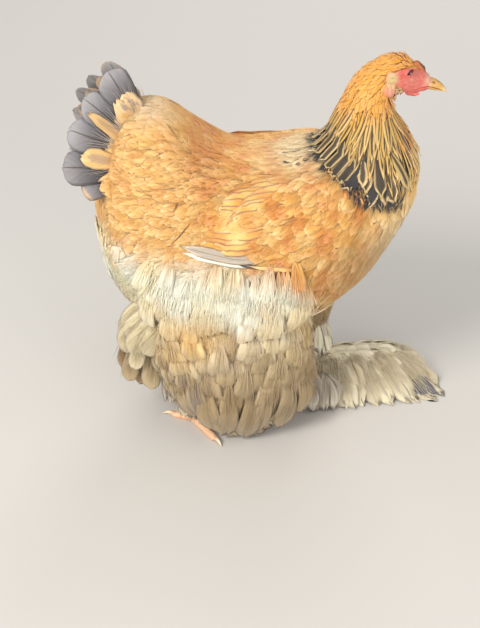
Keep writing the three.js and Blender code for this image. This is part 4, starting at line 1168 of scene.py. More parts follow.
def hackleLength(p):
    # Long on the sides and front, shorter behind, so that no tip lies far over the back.
    end = 298 + 0.62 * np.maximum(0, 155 - p[:, 0])
    return np.minimum(60 - 18 * smooth(345, 393, p[:, 2]), np.maximum(20, (p[:, 2] - end) * 1.08 + 12))


def hackleWidth(p):
    # Wider down the neck, widest in the lowest row.
    return 8 + 4.5 * (1 - smooth(335, 370, p[:, 2])) + 6 * (p[:, 2] - hackleLine(p) < 24)


hackleSizes = {
    "spacing": 4.9, "length": hackleLength, "width": hackleWidth, "turn": 0.08, "rows": 9, "roll": 0.12,
    "lift": lambda p: 3.6 + 2.0 * (1 - smooth(340, 390, p[:, 2])), "base": 1.2, "curl": 0.6, "paint": paintHackle,
    "form": {"outline": "lance", "cols": 5, "fray": 0.05, "cup": 0.16, "thick": 0.3, "rounding": 0.02},
}
sow("coat_hackle", "hackle", hackleSizes, 131, bothSides, hackleFeather, "hackle_feather", neckUnwrap)

# root x, y, z; tip x, y, z; width, shade of the heart from slate 0 to brown 1, its spread; y outwards
capeFeathers = [
    (167, 50, 356, 186, 48, 303, 12, 1.0, 0.3), (158, 58, 343, 160, 68, 297, 12, 1.0, 0.4),
    (147, 60, 352, 172, 62, 295, 17, 0.8, 0.8), (152, 60, 350, 156, 70, 308, 13, 0.4, 0.7),
    (145, 62, 348, 144, 76, 299, 16, 0.0, 1.05), (138, 64, 350, 137, 76, 313, 12, 0.5, 0.55),
    (132, 66, 352, 132, 76, 322, 12, 0.7, 0.45), (122, 66, 357, 122, 75, 319, 17, 0.0, 1.05),
    (115, 60, 358, 112, 72, 330, 12, 0.3, 0.65), (108, 54, 362, 102, 66, 336, 12, 0.3, 0.6),
    (103, 46, 366, 94, 56, 342, 11, 0.4, 0.55), (100, 36, 370, 85, 44, 350, 10, 0.5, 0.5),
    (98, 24, 372, 80, 28, 353, 10, 0.5, 0.5), (98, 10, 374, 78, 10, 355, 10, 0.5, 0.5),
]


def buildCape():
    # The broad feathers at the cape's lower edge: dark with a pale rim, lying over the shoulders.
    r = np.random.default_rng(137)
    table = np.array(capeFeathers)
    v = eased(11, {"ease": 1.4})
    for key, side in sides.items():
        flip = np.array([1, side, 1])
        start, end = table[:, None, :3] * flip, table[:, None, 3:6] * flip
        along = start + (end - start) * v[None, :, None]
        lines, outs = (a.reshape(len(table), 11, 3) for a in skinUnder(along.reshape(-1, 3)))
        height = 2.4 + 5.4 * v**1.2 + 0.8 * r.uniform(-1, 1, (len(table), 1))
        shape = vanes(lines, outs, table[:, 6], {
            "outline": "soft", "cols": 7, "fray": 0.06, "cup": 0.1, "thick": 0.3, "rounding": 0.12,
            "height": height, "ease": 1.4}, 138)
        heart = mix(tones["capeDark"], tones["hackleDark"], table[:, 7])
        tint = np.tile(mix(tones["hackleEdge"], tones["creamBack"], 0.3) * 0.85, (len(table), 1))
        batch = (shape, plainLook(tint, heart, table[:, 8], r), (neckUnwrap(lines[:, 0]), tuftPatch))
        coatPiece("coat_cape_" + key, [batch], hackleFeather, "hackle_feather")


def paintThroat(p, look, r):
    # Thin dark hearts that fade out up the throat.
    look["heart"] = np.tile(tones["hackleDark"], (len(p), 1))
    look["spread"] = 0.2 * smooth(365, 330, p[:, 2]) * r.uniform(0.2, 1, len(p))


throatSizes = {
    "spacing": 4.4, "length": 26, "width": 9, "lift": 4.6, "base": 3.6, "turn": 0.1, "rows": 7, "hugs": True,
    "paint": paintThroat, "form": {"outline": "lance", "cols": 5, "fray": 0.08, "cup": 0.08, "thick": 0.3},
}
buildCape()
sow("coat_throat", "throat", throatSizes, 141, oneSide, hackleFeather, "buff_feather", neckUnwrap)

fluffSizes = {
    "spacing": 9.2, "length": 44, "width": 23, "lift": 1.9, "base": 4.2, "turn": 0.11, "rows": 9, "hugs": True,
    "billow": (2.8, 44), "form": dict(softForm, fray=0.08, cup=0.03, thick=0.25),
}
sow("coat_fluff", "fluff", fluffSizes, 151, bothSides, creamFeather, "cream_feather")
plumeSizes = {
    "spacing": 6.3, "length": 42, "width": 15, "lift": 2.6, "base": 5.9, "turn": 0.16, "rows": 5, "bend": 1.1,
    "billow": (2.8, 44), "make": plumes, "form": {"barbs": 6, "puff": 1.2, "barb": 0.42},
}
sow("coat_plumes", "fluff", plumeSizes, 161, bothSides, creamFeather, "cream_feather")
print("hood, hackle and fluff laid")

# large feathers, one by one


def bowed(roots, tips, facing, bow, rows=9, ease=1.0):
    # Lines from root to tip, bulging towards facing by bow at the middle.
    v = eased(rows, {"ease": ease})[None, :, None]
    facing = np.broadcast_to(unit(np.asarray(facing, float)), roots.shape)
    line = roots[:, None] * (1 - v) + tips[:, None] * v
    line = line + facing[:, None] * (spreadOf(bow, len(roots))[:, None, None] * np.sin(math.pi * v))
    return line, np.repeat(facing[:, None], rows, axis=1)


def columns(n, first=0, total=None):
    # One tall patch for each large feather, side by side.
    total = total or n
    spot = np.stack([(np.arange(n) + first + 0.5) / total, np.full(n, 0.04)], -1)
    return spot, (0.8 / total, 0.9)


def largeFeathers(name, layers, form, seed, material, slot, stands=()):
    # Layers of (lines, outs, widths, what differs in the form, look), side by side on the unwrapped skin.
    total = sum(len(layer[0]) for layer in layers)
    batches, first = [], 0
    for lines, outs, width, own, look in layers:
        shape = vanes(lines, outs, width, {**form, **own}, seed + first)
        batches.append((shape, look, columns(len(lines), first, total)))
        first += len(lines)
    coatPiece(name, batches, material, slot, stands)


def downOver(name, sets, width, thick, seed, copies, material=footFeather, unwrap=legUnwrap):
    # Loose barbs over large feathers, each feather's line (sets of lines, outs, tints) copied a little aside.
    r = np.random.default_rng(seed)
    lines, outs, tints = (np.concatenate(part) for part in zip(*sets))
    lines, outs, tints = (part.repeat(copies, axis=0) for part in (lines + outs * 1.2, outs, tints))
    lines = lines + r.normal(0, 2.4, (len(lines), 1, 3)) * [1, 1, 0.4]
    keepAbove(lines, 1.3)
    shape = plumes(lines, outs, width, {"barbs": 5, "puff": 0.8, "barb": thick}, seed + 1)
    keepAbove(shape[0], 0.6)
    batch = (shape, plainLook(tints, tints, 0, r), (unwrap(lines[:, 0]), tuftPatch))
    coatPiece(name, [batch], material, "buff_feather" if material is buffFeather else "foot_feather")


# t from the tail's ridge (0) to its lower edge (1); x, y outwards, z
tailRoots = [(0, -104, 9, 352), (0.5, -112, 30, 338), (1, -118, 46, 316)]
tailTips = [
    (0, -143, 10, 436), (0.25, -167, 30, 413), (0.5, -186, 52, 382), (0.75, -194, 70, 347), (1, -172, 78, 316)]
tailSizes = {
    "main": [0.02, 0.15, 0.28, 0.39, 0.5, 0.63, 0.76, 0.92], "width": 40, "deep": 3.5, "rows": 12, "ease": 1.5,
    "slate": [1.3, 1.1, 1.7, 1.1, 1.7, 1.2, 1.6, 1.0],  # how far each one's slate spreads over its buff edge
    "coverts": ((0.64, 12, 5.0, 24), (0.53, 13, 6.5, 22), (0.42, 14, 7.6, 21), (0.3, 14, 8.6, 21)),
}


def tailPlace(side, t, reach):
    # On the tent's side, reach from the roots' line (0) to the tips' line (1).
    reach = np.asarray(reach, float)[..., None]
    p = fair(tailRoots, t) * (1 - reach) + fair(tailTips, t) * reach
    return p * np.array([1, side, 1])


def tailLayers(side, r):
    # Eight broad slate feathers, every other one set deeper, two buff ones over them, and rows of coverts.
    facing = np.array([0.42, side, 0.5])
    over = unit(facing)
    t = np.array(tailSizes["main"])
    n = len(t)
    deep = np.where(np.arange(n) % 2 == 1, -tailSizes["deep"], 0.0)
    roots = tailPlace(side, t, np.full(n, 0.12)) + over * deep[:, None]
    reach = np.where(deep < 0, 0.9, 1.0) + r.uniform(-0.015, 0.015, n)
    tips = tailPlace(side, t, reach) + over * deep[:, None]
    edge = mix(tones["tan"], tones["slate"], np.where(deep < 0, 0.3, r.uniform(0.55, 0.9, n)))
    heart = tones["slate"] * r.uniform(0.85, 1.1, (n, 1))
    wide = tailSizes["width"] * r.uniform(0.92, 1.05, n)
    slate = np.array(tailSizes["slate"])
    yield "main", roots, tips, facing, 4.0, wide, edge, heart, slate, "disc", 0.1 * side, 0.02
    t = np.array([0.34, 0.66])
    roots = tailPlace(side, t + [0.1, 0.02], [0.1, 0.25]) + over * 5
    tips = tailPlace(side, t, [0.86, 0.76]) + over * 5
    tint = mix(tones["straw"], tones["tan"], [0.7, 0.5])
    heart = mix(tones["tan"], tones["slate"], [0.15, 0.3])
    yield "buff", roots, tips, facing, 3.0, np.array([13.0, 24.0]), tint, heart, 0.4, "soft", 0.1 * side, 0.06
    for reach, n, lift, wide in tailSizes["coverts"]:
        t = np.linspace(0, 1, n) + r.uniform(-0.04, 0.04, n)
        ends = reach + r.uniform(-0.06, 0.04, n) - 0.2 * smooth(0.12, 0.36, t) * (1 - smooth(0.8, 1.0, t))
        roots = tailPlace(side, t, ends - 0.6)
        tips = tailPlace(side, t + r.uniform(-0.03, 0.03, n), ends) + over * lift
        tint = mix(tones["cushion"], tones["buff"], r.uniform(0, 0.8, n)) * 0.93
        heart, spread = tint * 0.9, np.full(n, 0.3)
        if reach > 0.6:  # a few grey hearts in the furthest row
            heart[[0, 1, 7]], spread[[0, 1, 7]] = mix(tones["slate"], tones["tan"], 0.4), 0.6
        wide = wide * r.uniform(0.85, 1.15, n)
        yield "covert", roots, tips, facing, 5.0, wide, tint, heart, spread, "soft", 0.05 * side, 0.12


def buildTail():
    # The tented fan and its coverts, with loose barbs over both.
    r = np.random.default_rng(171)
    layers = [layer for side in (-1, 1) for layer in tailLayers(side, r)]
    total = sum(len(layer[1]) for layer in layers)
    slates, buffs, downy, first = [], [], [], 0
    rows = tailSizes["rows"]
    for kind, roots, tips, facing, bow, width, tint, heart, spread, outline, roll, fray in layers:
        lines, outs = bowed(roots, tips, facing, bow, rows, tailSizes["ease"])
        main, n = kind == "main", len(roots)
        form = {"outline": outline, "cols": 9, "fray": fray, "cup": 0.14 if main else 0.05,
                "thick": 0.5 if main else 0.3, "roll": roll, "rounding": 0.0, "ease": tailSizes["ease"]}
        shape = vanes(lines, outs, width, form, 172 + first)
        v = eased(rows, form)[None, :]
        look = plainLook(tint, heart, spread, r)
        if main:
            look["heart"] = mix(tones["slateDark"], heart[:, None], smooth(0.45, 1.0, v))
            loose = np.tile(mix(tones["slate"], tones["ash"], 0.5), (n, 6, 1))
            downy.append((lines[:, 2:8] + outs[:, 2:8], outs[:, 2:8], loose))
        elif kind == "covert":
            look["tint"] = mix(markingsAndShadeAt(lines), tint[:, None], 0.4 * v)
            downy.append((lines[:, ::2] + outs[:, ::2] * 0.6, outs[:, ::2], look["tint"][:, ::2]))
        (slates if main else buffs).append((shape, look, columns(n, first, total)))
        first += n
    coatPiece("tail_feathers", slates, slateFeather, "slate_feather", ("tail",))
    coatPiece("tail_coverts", buffs, buffFeather, "buff_feather")
    downOver("tail_down", downy, 20, 0.3, 176, 2, buffFeather, bodyUnwrap)


buildTail()


def wingLine(x0, x1, a0, a1, arch, h0, h1, side, rows=12):
    # Lines on the folded wing between two places (x, section angle in degrees, height over the surface);
    # arch raises the angle in between, and the height comes up in the first half.
    v = np.linspace(0, 1, rows)[None, :]
    x = x0[:, None] * (1 - v) + x1[:, None] * v
    a = np.radians(a0[:, None] * (1 - v) + a1[:, None] * v + spreadOf(arch, len(x0))[:, None] * np.sin(math.pi * v))
    h = wingBulge(x, a) + h0 + (spreadOf(h1, len(x0))[:, None] - h0) * smooth(0.05, 0.5, v)
    line = onTorso(x, a, h)
    out = unit(onTorso(x, a, h + 10) - line)
    flip = np.array([1, side, 1])
    return line * flip, out * flip


primaries = [  # root x, tip x, root angle, tip angle, arch, width, height at the tip
    (44, -69, 11.5, 6.4, 2.5, 13, -0.6), (46, -66, 8.5, 3.4, 2.5, 9, -1.4),
    (98, 4, -4.5, 8.9, 1.0, 4.5, -1.8), (40, -4, 3.5, 9.0, 1.0, 4.5, -2.0),
]
secondarySizes = {"layers": ((9, 0, -3.4), (10, 20, -3.2)), "width": 25, "tuck": -8.5}  # count, back, tip's height


def buildWingQuills():
    # Primaries show as a narrow grey strip with a pale lower edge; the buff secondaries fan out above it,
    # their tips along the seam between wing and rump.
    table = np.array(primaries, float)
    white, straw, dark = tones["white"], tones["straw"], tones["slateDark"]
    tint = np.stack([mix(tones["ash"], tones["tan"], 0.3), white, straw, dark])
    heart = np.stack([mix(tones["ash"], dark, 0.35), tones["cream"], straw, dark])
    tuck = secondarySizes["tuck"]
    for key, side in sides.items():
        r = np.random.default_rng(181)
        lines, outs = wingLine(*table[:, :5].T, tuck, table[:, 6], side)
        look = plainLook(tint, heart, [0.75, 0.2, 0.2, 0.8], r)
        largeFeathers("wing_quills_" + key, [(lines, outs, table[:, 5], {}, look)], {
            "outline": "quill", "cols": 7, "fray": 0.02, "cup": 0.1, "thick": 0.5, "roll": 0.12 * side,
            "rounding": 0.1}, 182, slateFeather, "slate_feather")
        batches = []
        for layer, (count, back, height) in enumerate(secondarySizes["layers"]):
            t = np.linspace(0, 1, count) + r.uniform(-0.03, 0.03, count)
            tipX = -66 + 48 * t + back + r.uniform(-4, 4, count)
            tipAngle = 12.5 + 32 * t
            lines, outs = wingLine(tipX + 66, tipX, tipAngle + 3 + 5 * t, tipAngle, 2.0, tuck, height, side)
            shape = vanes(lines, outs, secondarySizes["width"] * r.uniform(0.85, 1.15, count), {
                "outline": "soft", "cols": 9, "fray": 0.07, "cup": 0.04, "thick": 0.25,
                "roll": 0.015 * side}, 183 + layer)
            batches.append((shape, lookOf(lines, r), columns(count, 10 * layer, 20)))
        coatPiece("wing_secondaries_" + key, batches, buffFeather, "buff_feather")


buildWingQuills()

# hock feathers, shank tufts and foot fans

# root x, y, z; tip x, y, z; width, shade (pale cream 0 to dark tan 1: part own tan, part painted shade); y outwards,
# x from the middle of the thigh
hockLobes = [
    (-102, 50, 127, -121, 50, 69, 21, 1.0), (-97, 62, 124, -113, 62, 59, 22, 0.75),
    (-89, 57, 124, -99, 58, 51, 22, 0.95), (-80, 68, 127, -86, 69, 51, 24, 0.6),
    (-70, 60, 126, -74, 62, 62, 22, 1.1), (-88, 76, 140, -104, 77, 85, 19, 0.15),
    (-82, 44, 165, -119, 44, 103, 30, 0.3), (-72, 62, 171, -119, 62, 101, 32, 0.22),
    (-62, 76, 171, -108, 76, 105, 32, 0.12), (-55, 84, 171, -93, 84, 110, 32, 0.15),
    (-46, 88, 168, -79, 88, 113, 30, 0.25), (-37, 90, 167, -64, 90, 118, 28, 0.3),
    (-66, 54, 181, -116, 54, 122, 32, 0.05), (-62, 70, 183, -111, 70, 123, 32, 0.0),
    (-48, 82, 184, -94, 82, 128, 32, 0.0), (-37, 90, 184, -77, 90, 135, 30, 0.05),
]
legs = {
    "right": {"side": -1, "x": -56, "y": -60, "heading": -12, "outerTurn": 46,
              "ridge": [(-52, -62, 46), (-20, -52, 46), (14, -42, 36), (40, -30, 22)],
              "tips": [(-44, -93, 1), (-14, -99, 1), (18, -90, 1), (42, -66, 1), (56, -38, 1), (58, -8, 1)],
              "far": [(-84, -18, 1), (-40, -4, 1), (4, 2, 1), (36, 4, 1)]},
    "left": {"side": 1, "x": 98, "y": 42, "heading": 5, "outerTurn": 32,
             "ridge": [(104, 34, 36), (134, 40, 35), (172, 48, 33), (202, 52, 24)],
             "tips": [(92, -24, 1), (112, -42, 1), (140, -38, 1), (172, -30, 1), (204, -27, 1), (235, 6, 1)],
             "far": [(92, 82, 1), (130, 90, 1), (176, 90, 1), (218, 70, 1)]},
}


def evenPath(triples, t):
    # A fair curve through points, t going evenly from the first to the last.
    rows = [(i / (len(triples) - 1), *p) for i, p in enumerate(triples)]
    return fair(rows, t)


def ridgeWay(leg, t):
    # The direction of a fan's ridge, from the places just behind and ahead.
    ahead, behind = (evenPath(leg["ridge"], np.clip(t + step, 0, 1)) for step in (0.05, -0.05))
    return unit(ahead - behind)


hockSizes = {"rows": 11, "ease": 1.6, "under": 6, "bow": (5, 13)}  # the first six lobes hang underneath


def buildHock(key):
    # Soft rounded lobes hanging behind the thigh under a bulge of shorter feathers.
    leg = legs[key]
    r = np.random.default_rng(191 if key == "right" else 192)
    table = np.array(hockLobes, float)
    count, rows, ease = len(table), hockSizes["rows"], hockSizes["ease"]
    place = np.array([1, leg["side"], 1])
    roots = table[:, :3] * place + [thighs[key]["x"], 0, 0]
    tips = table[:, 3:6] * place + [thighs[key]["x"], 0, 0]
    turn = np.radians(np.clip((table[:, 4] - 20) * 1.7, 10, 85))
    facing = np.stack([-np.cos(turn), leg["side"] * np.sin(turn), np.full(count, 0.4)], -1)
    under = np.arange(count) < hockSizes["under"]
    lines, outs = bowed(roots, tips, facing, np.where(under, *hockSizes["bow"]), rows, ease)
    v = eased(rows, {"ease": ease})[None, :]
    # painted shade: each lobe darkened towards tan by its shade, the hanging lobes darkest at their roots under the
    # bulge, the bulge's feathers darker towards their lower tips; the down over them takes the same tints
    pale = mix(tones["cream"], tones["apricot"], 0.3) * 0.9
    tint = mix(pale, tones["tan"] * 0.6, np.clip(table[:, 7:8] + 0 * v, 0, 1))
    tint = tint * np.where(under[:, None], 0.5 + 0.45 * v, 1 - 0.3 * v)[..., None]
    look = plainLook(tint, tint * 0.88, 0.35, r)
    largeFeathers("hock_" + key, [(lines, outs, table[:, 6], {}, look)], {
        "outline": "disc", "cols": 11, "fray": 0.018, "cup": 0.12, "thick": 0.4, "rounding": 0.0,
        "ease": ease}, 193, creamFeather, "cream_feather")
    downOver("hock_down_" + key, [(lines, outs, tint)], 20, 0.3, 195, 4)


apronSizes = {
    "path": [
        (-66, -62, 40), (-54, -88, 36), (-41, -100, 20), (-6, -103, 9), (29, -98, 9), (70, -80, 26), (84, -50, 32)],
    "tiers": ((82, 15, 1.0), (92, 15, 0.8), (103, 15, 0.62), (115, 15, 0.48), (128, 14, 0.4), (142, 14, 0.32)),
    "inside": 9, "width": 26, "rows": 11, "ease": 1.3,
}


def buildApron(key):
    # The thigh's lowest feathers hang over the foot fan in tiers (root's height, count, reach to the path),
    # so that thigh and fan are one soft slope.
    leg, thigh = legs[key], thighs[key]
    r = np.random.default_rng(197)
    layers, downy, first = [], [], 0
    rows, ease, inside = apronSizes["rows"], apronSizes["ease"], apronSizes["inside"]
    for z, count, reach in apronSizes["tiers"]:
        s = fair(thighStations, z)
        t = np.clip(np.linspace(0, 1, count) + r.uniform(-0.03, 0.03, count), 0, 1)
        clumps = t + 0.026 * np.sin(2 * math.pi * (6.3 * t + 0.3 * first))
        low = evenPath(apronSizes["path"], np.clip(clumps, 0, 1))
        middle = np.array([thigh["x"] + s[0], leg["side"] * s[2], z + 14.0])
        out = unit((low - middle) * [1, 1, 0])
        roots = middle + out * [s[1] - inside, s[3] - inside, 0]
        tips = roots + (low - roots) * (reach * r.uniform(0.92, 1.06, count))[:, None]
        tips += out * (1 - reach) * 7
        bow = 5 + 12 * reach + r.uniform(-2, 3, count)
        lines, outs = bowed(roots, tips, out + [0, leg["side"] * 0.9, 0.25], bow, rows, ease)
        wide = apronSizes["width"] * r.uniform(0.85, 1.15, count)
        tint = mix(markingsAndShadeAt(lines), tones["cream"], 0.06) * r.uniform(0.9, 1.02, (count, 1, 1))
        # painted shade: each feather darker towards its lower end, more in the shorter upper tiers
        tint = tint * (1 - 0.2 * eased(rows, {"ease": ease}) * (1.2 - reach))[None, :, None]
        look = plainLook(tint, tint * 0.92, 0.3, r)
        if reach in (0.8, 0.62):  # a few grey ones over the shank
            grey = np.abs(t - 0.36) < 0.05
            look["heart"][grey], look["spread"][grey] = mix(tones["footSlate"], tones["tan"], 0.25), 0.55
        layers.append((lines, outs, wide, {"outline": "soft" if reach < 0.9 else "disc"}, look))
        downy.append((lines, outs, tint))
        first += count
    largeFeathers("apron_" + key, layers, {
        "cols": 9, "fray": 0.05, "cup": 0.12, "thick": 0.3, "rounding": 0.0, "ease": ease},
        198, creamFeather, "cream_feather")
    downOver("apron_down_" + key, downy, 22, 0.32, 199, 3)


drapeSizes = {
    "tiers": ((240, 190, 21), (230, 176, 22), (220, 164, 22), (210, 150, 21)),  # root's height, tip's height, count
    "width": 19, "bow": 14, "rows": 11, "ease": 1.3, "down": {"right": 4, "left": 2},
}


def buildDrape(key):
    # Long soft feathers hang from the belly over the top of the thigh, across the crease between them.
    side, middle = legs[key]["side"], thighs[key]["x"]
    r = np.random.default_rng(221)
    layers, downy = [], []
    for high, low, count in drapeSizes["tiers"]:
        x = middle + np.linspace(-88, 84, count) + r.uniform(-4, 4, count)
        rise = r.uniform(-14, 14, count)
        s = fair(thighStations, np.full(count, float(low)))
        reach = np.sqrt(np.clip(1 - ((x - middle - s[:, 0]) / (s[:, 1] + 4)) ** 2, 0.05, 1))
        start, out = skinUnder(np.stack([x + 6, side * (112 + 0 * x), high + rise], -1))
        end, outLow = skinUnder(np.stack([x, side * (s[:, 2] + s[:, 3] * reach), low + rise], -1))
        lines, outs = bowed(start + out * 0.5, end + outLow * 5.0, unit(out + outLow), drapeSizes["bow"],
                            drapeSizes["rows"], drapeSizes["ease"])
        wide = drapeSizes["width"] * r.uniform(0.85, 1.15, count)
        tint = markingsAndShadeAt(lines) * r.uniform(0.94, 1.02, (count, 1, 1))
        layers.append((lines, outs, wide, {}, plainLook(tint, tint * 0.94, 0.3, r)))
        downy.append((lines[:, ::2], outs[:, ::2], tint[:, ::2]))
    largeFeathers("drape_" + key, layers, {
        "outline": "soft", "cols": 7, "fray": 0.12, "cup": 0.1, "thick": 0.3, "rounding": 0.0,
        "ease": drapeSizes["ease"]}, 222, creamFeather, "cream_feather")
    downOver("drape_down_" + key, downy, 24, 0.34, 225, drapeSizes["down"][key])


fanSizes = {
    "layers": (  # path of the tips, count, reach to it, rise, width
        ("tips", 12, 1.0, 0.0, 25), ("far", 8, 1.0, 0.0, 24), ("tips", 13, 0.8, 3.5, 22),
        ("far", 8, 0.75, 3.5, 22), ("tips", 13, 0.58, 6.0, 20), ("far", 8, 0.5, 6.0, 20),
        ("tips", 12, 0.36, 8.0, 18), ("far", 7, 0.32, 8.0, 18)),
    "rows": 11, "ease": 1.3, "down": {"right": 1, "left": 3},
}


def buildFan(key):
    # Foot feathers bow over a ridge along the toes and come down to the floor, shorter ones on top.
    leg = legs[key]
    r = np.random.default_rng(201 if key == "right" else 202)
    rows, ease = fanSizes["rows"], fanSizes["ease"]
    layers, downy = [], []
    along = eased(rows, {"ease": ease})[None, :, None]
    for path, count, reach, up, wide in fanSizes["layers"]:
        bare = 0.2 if (key, path) == ("right", "tips") else 0.0
        t = np.clip(np.linspace(bare, 1, count) + r.uniform(-0.03, 0.03, count), bare, 1)
        top = evenPath(leg["ridge"], t)
        tip = evenPath(leg[path], t)
        foot = top * [1, 1, 0]
        tip = foot + (tip - foot) * (reach * r.uniform(0.92, 1.02, count))[:, None]
        tip[:, 2] = 1.2 + up * 1.9 + r.uniform(0, 2.5, count)
        out = unit((tip - top) * [1, 1, 0])
        roots = top - out * 2 + np.array([0, 0, -8.0])
        roots[:, 2] += up * 0.7
        lines, outs = bowed(roots, tip, out * 0.5 + [0, 0, 1], 10 * r.uniform(0.85, 1.2, count), rows, ease)
        long = ((12 + 20 * t * (t < 0.97)) if key == "left" else 7 + 4 * t)[:, None, None]
        lines += ridgeWay(leg, t)[:, None] * (long * along**2)
        keepAbove(lines, 1.0)
        roll = -0.12 * leg["side"] * (1 if path == "tips" else -1)
        wide = wide * r.uniform(0.88, 1.12, count)
        if key == "left":
            tint = mix(tones["footWhite"], tones["cream"], r.uniform(0, 0.5, count))
            heart, spread = mix(tint, tones["ash"] * 0.7, 0.6), np.full(count, 0.4)
            dark = (t > 0.74) & (t < 0.96) & (up < 1) & (path == "tips")
            grey = (r.random(count) < 0.25) & ~dark
            heart[dark], spread[dark] = tones["footSlate"], 0.8
            heart[grey], spread[grey] = mix(tones["footSlate"], tones["tan"], 0.7), 0.2
        else:
            # partly the feathers' own tan and partly painted shade: the right foot's feathers lie in shadow under
            # the body
            tint = mix(tones["tan"], tones["cream"], r.uniform(0.1, 0.8, count))
            heart, spread = tint * 0.88, 0.3
        layers.append((lines, outs, wide, {"roll": roll}, plainLook(tint, heart, spread, r)))
        downy.append((lines, outs, tint))
    largeFeathers("fan_" + key, layers, {
        "outline": "disc", "cols": 9, "fray": 0.11, "cup": 0.34, "thick": 0.5, "ease": ease, "rounding": 0.0},
        203, footFeather, "foot_feather", ("foot_" + key,))
    downOver("fan_down_" + key, downy, 20, 0.3, 204, fanSizes["down"][key])


crestSizes = {"layers": ((-12, 9), (12, 8), (-5, 9), (3, 9)), "width": 21, "bow": 5, "rows": 11, "ease": 1.3}


def buildCrest(key):
    # Feathers along the top of the foot fan (lean to the side, count), pointing forward over its sloping rows.
    leg = legs[key]
    r = np.random.default_rng(207)
    layers = []
    for lean, count in crestSizes["layers"]:
        t = np.linspace(0.02, 0.98, count) + r.uniform(-0.02, 0.02, count)
        ridge = evenPath(leg["ridge"], np.clip(t, 0, 1))
        ahead = ridgeWay(leg, t)
        aside = np.cross([0, 0, 1], ahead)
        roots = ridge + aside * lean * 0.5 - ahead * 12 - [0, 0, 3]
        tips = ridge + aside * lean * 1.5 + ahead * r.uniform(22, 30, count)[:, None]
        tips += aside * r.uniform(-5, 5, (count, 1))
        tips[:, 2] += 3 - 0.5 * abs(lean) - 11 * smooth(0.6, 1, t) + r.uniform(-3, 2, count)
        lines, outs = bowed(roots, tips, aside * lean * 0.06 + [0, 0, 1], crestSizes["bow"],
                            crestSizes["rows"], crestSizes["ease"])
        wide = crestSizes["width"] * r.uniform(0.88, 1.12, count)
        tint = mix(tones["footWhite"], tones["cream"], r.uniform(0.2, 0.8, count))
        look = plainLook(tint, mix(tint, tones["ash"], 0.5), 0.35, r)
        layers.append((lines, outs, wide, {}, look))
    largeFeathers("crest_" + key, layers, {
        "outline": "disc", "cols": 9, "fray": 0.07, "cup": 0.2, "thick": 0.5, "ease": crestSizes["ease"],
        "rounding": 0.0}, 208, footFeather, "foot_feather")


for name in legs:
    buildHock(name)
    buildDrape(name)
    buildFan(name)
buildApron("right")
buildCrest("left")
print("tail, wing, hock and foot feathers laid")

# head: bare face, eyes, lobes, comb, wattles and bill

headTones = {
    "face": linear(208, 112, 100), "deep": linear(190, 62, 62), "pale": linear(214, 138, 118),
    "ear": linear(200, 172, 124), "rim": linear(140, 52, 50), "cere": linear(222, 176, 150),
    "lobeLow": linear(214, 152, 128), "comb": linear(104, 58, 36), "combLow": linear(176, 104, 50),
    "wattle": linear(216, 112, 100), "hornBase": linear(197, 144, 82), "horn": linear(209, 160, 92),
    "hornTip": linear(246, 222, 170), "ridge": linear(104, 66, 38), "iris": linear(112, 56, 22),
    "irisRim": linear(70, 30, 14), "pupil": linear(12, 9, 8),
}
slit = {"x": 12.6, "z": 6.5, "half": 3.9, "open": 1.7, "turn": math.radians(36), "dome": 4.3, "wide": 6.4}


def fleshMaterial(name, blotches, grains, pimples, bump, roughness, glow):
    # Bare skin: the tint it carries, blotched, with fine wrinkles and pimples in its bump.
    m, t, shader, height = newMaterial(name, (bump, 0.0004), {
        "Subsurface Weight": glow, "Subsurface Radius": (0.004, 0.0015, 0.001), "Subsurface Scale": 0.5})
    place = objectPlace(t)
    blotch = noise(t, place, blotches, 4.0, 0.6)
    grain = noise(t, place, grains, 3.0)
    pimple = node(t, "ShaderNodeTexVoronoi", {"Vector": place, "Scale": pimples}).outputs["Distance"]
    light = calc(t, "ADD", calc(t, "MULTIPLY_ADD", blotch, 0.5, 0.75), calc(t, "MULTIPLY_ADD", pimple, -0.16, 0.06))
    showTint(t, shader, light, calc(t, "MULTIPLY_ADD", blotch, -0.3, 1.16))
    t.links.new(calc(t, "ADD", calc(t, "MULTIPLY", grain, 0.6), calc(t, "MULTIPLY", pimple, -0.9)), height)
    t.links.new(calc(t, "MULTIPLY_ADD", grain, 0.25, roughness), shader["Roughness"])
    return m


fleshLooks = {  # sizes of blotches, grain and pimples, bump, roughness, glow
    "redSkin": (260, 1500, 900, 0.6, 0.36, 0.15), "paleSkin": (300, 1400, 700, 0.5, 0.45, 0.15),
    "scaleSkin": (220, 900, 500, 0.4, 0.4, 0.05), "hornGloss": (180, 700, 120, 0.12, 0.22, 0.05),
}
redSkin, paleSkin, scaleSkin, hornGloss = (fleshMaterial(name, *look) for name, look in fleshLooks.items())


def glossMaterial():
    # The eye: the tint it carries, flecked, under a clear wet coat.
    m, t, shader, _ = newMaterial("eyeGloss", None, {
        "Roughness": 0.12, "Coat Weight": 1.0, "Coat Roughness": 0.03})
    fleck = noise(t, objectPlace(t), 1400.0)
    showTint(t, shader, calc(t, "MULTIPLY_ADD", fleck, 0.6, 0.7))
    return m


eyeGloss = glossMaterial()


def tintedPiece(name, points, faceSets, tint, material, slot, stands=()):
    # A piece of bare skin or horn with a tint for each point.
    mesh, _ = meshOf(name, points, outward(points, faceSets))
    addColour(mesh, "tint", tint)
    addPiece(name, mesh, material, slot, stands)


def loftTints(tint):
    # The rings' tints; the points that shut the ends take the first and the last.
    flat = tint.reshape(-1, 3)
    return np.vstack([flat, flat[:1], flat[-1:]])


def loftPiece(name, rings, tint, material, slot, *stands):
    # A stack of rings with a tint for each of their points.
    tintedPiece(name, loftPoints(rings), loftFaces(*rings.shape[:2]), loftTints(tint), material, slot, stands)


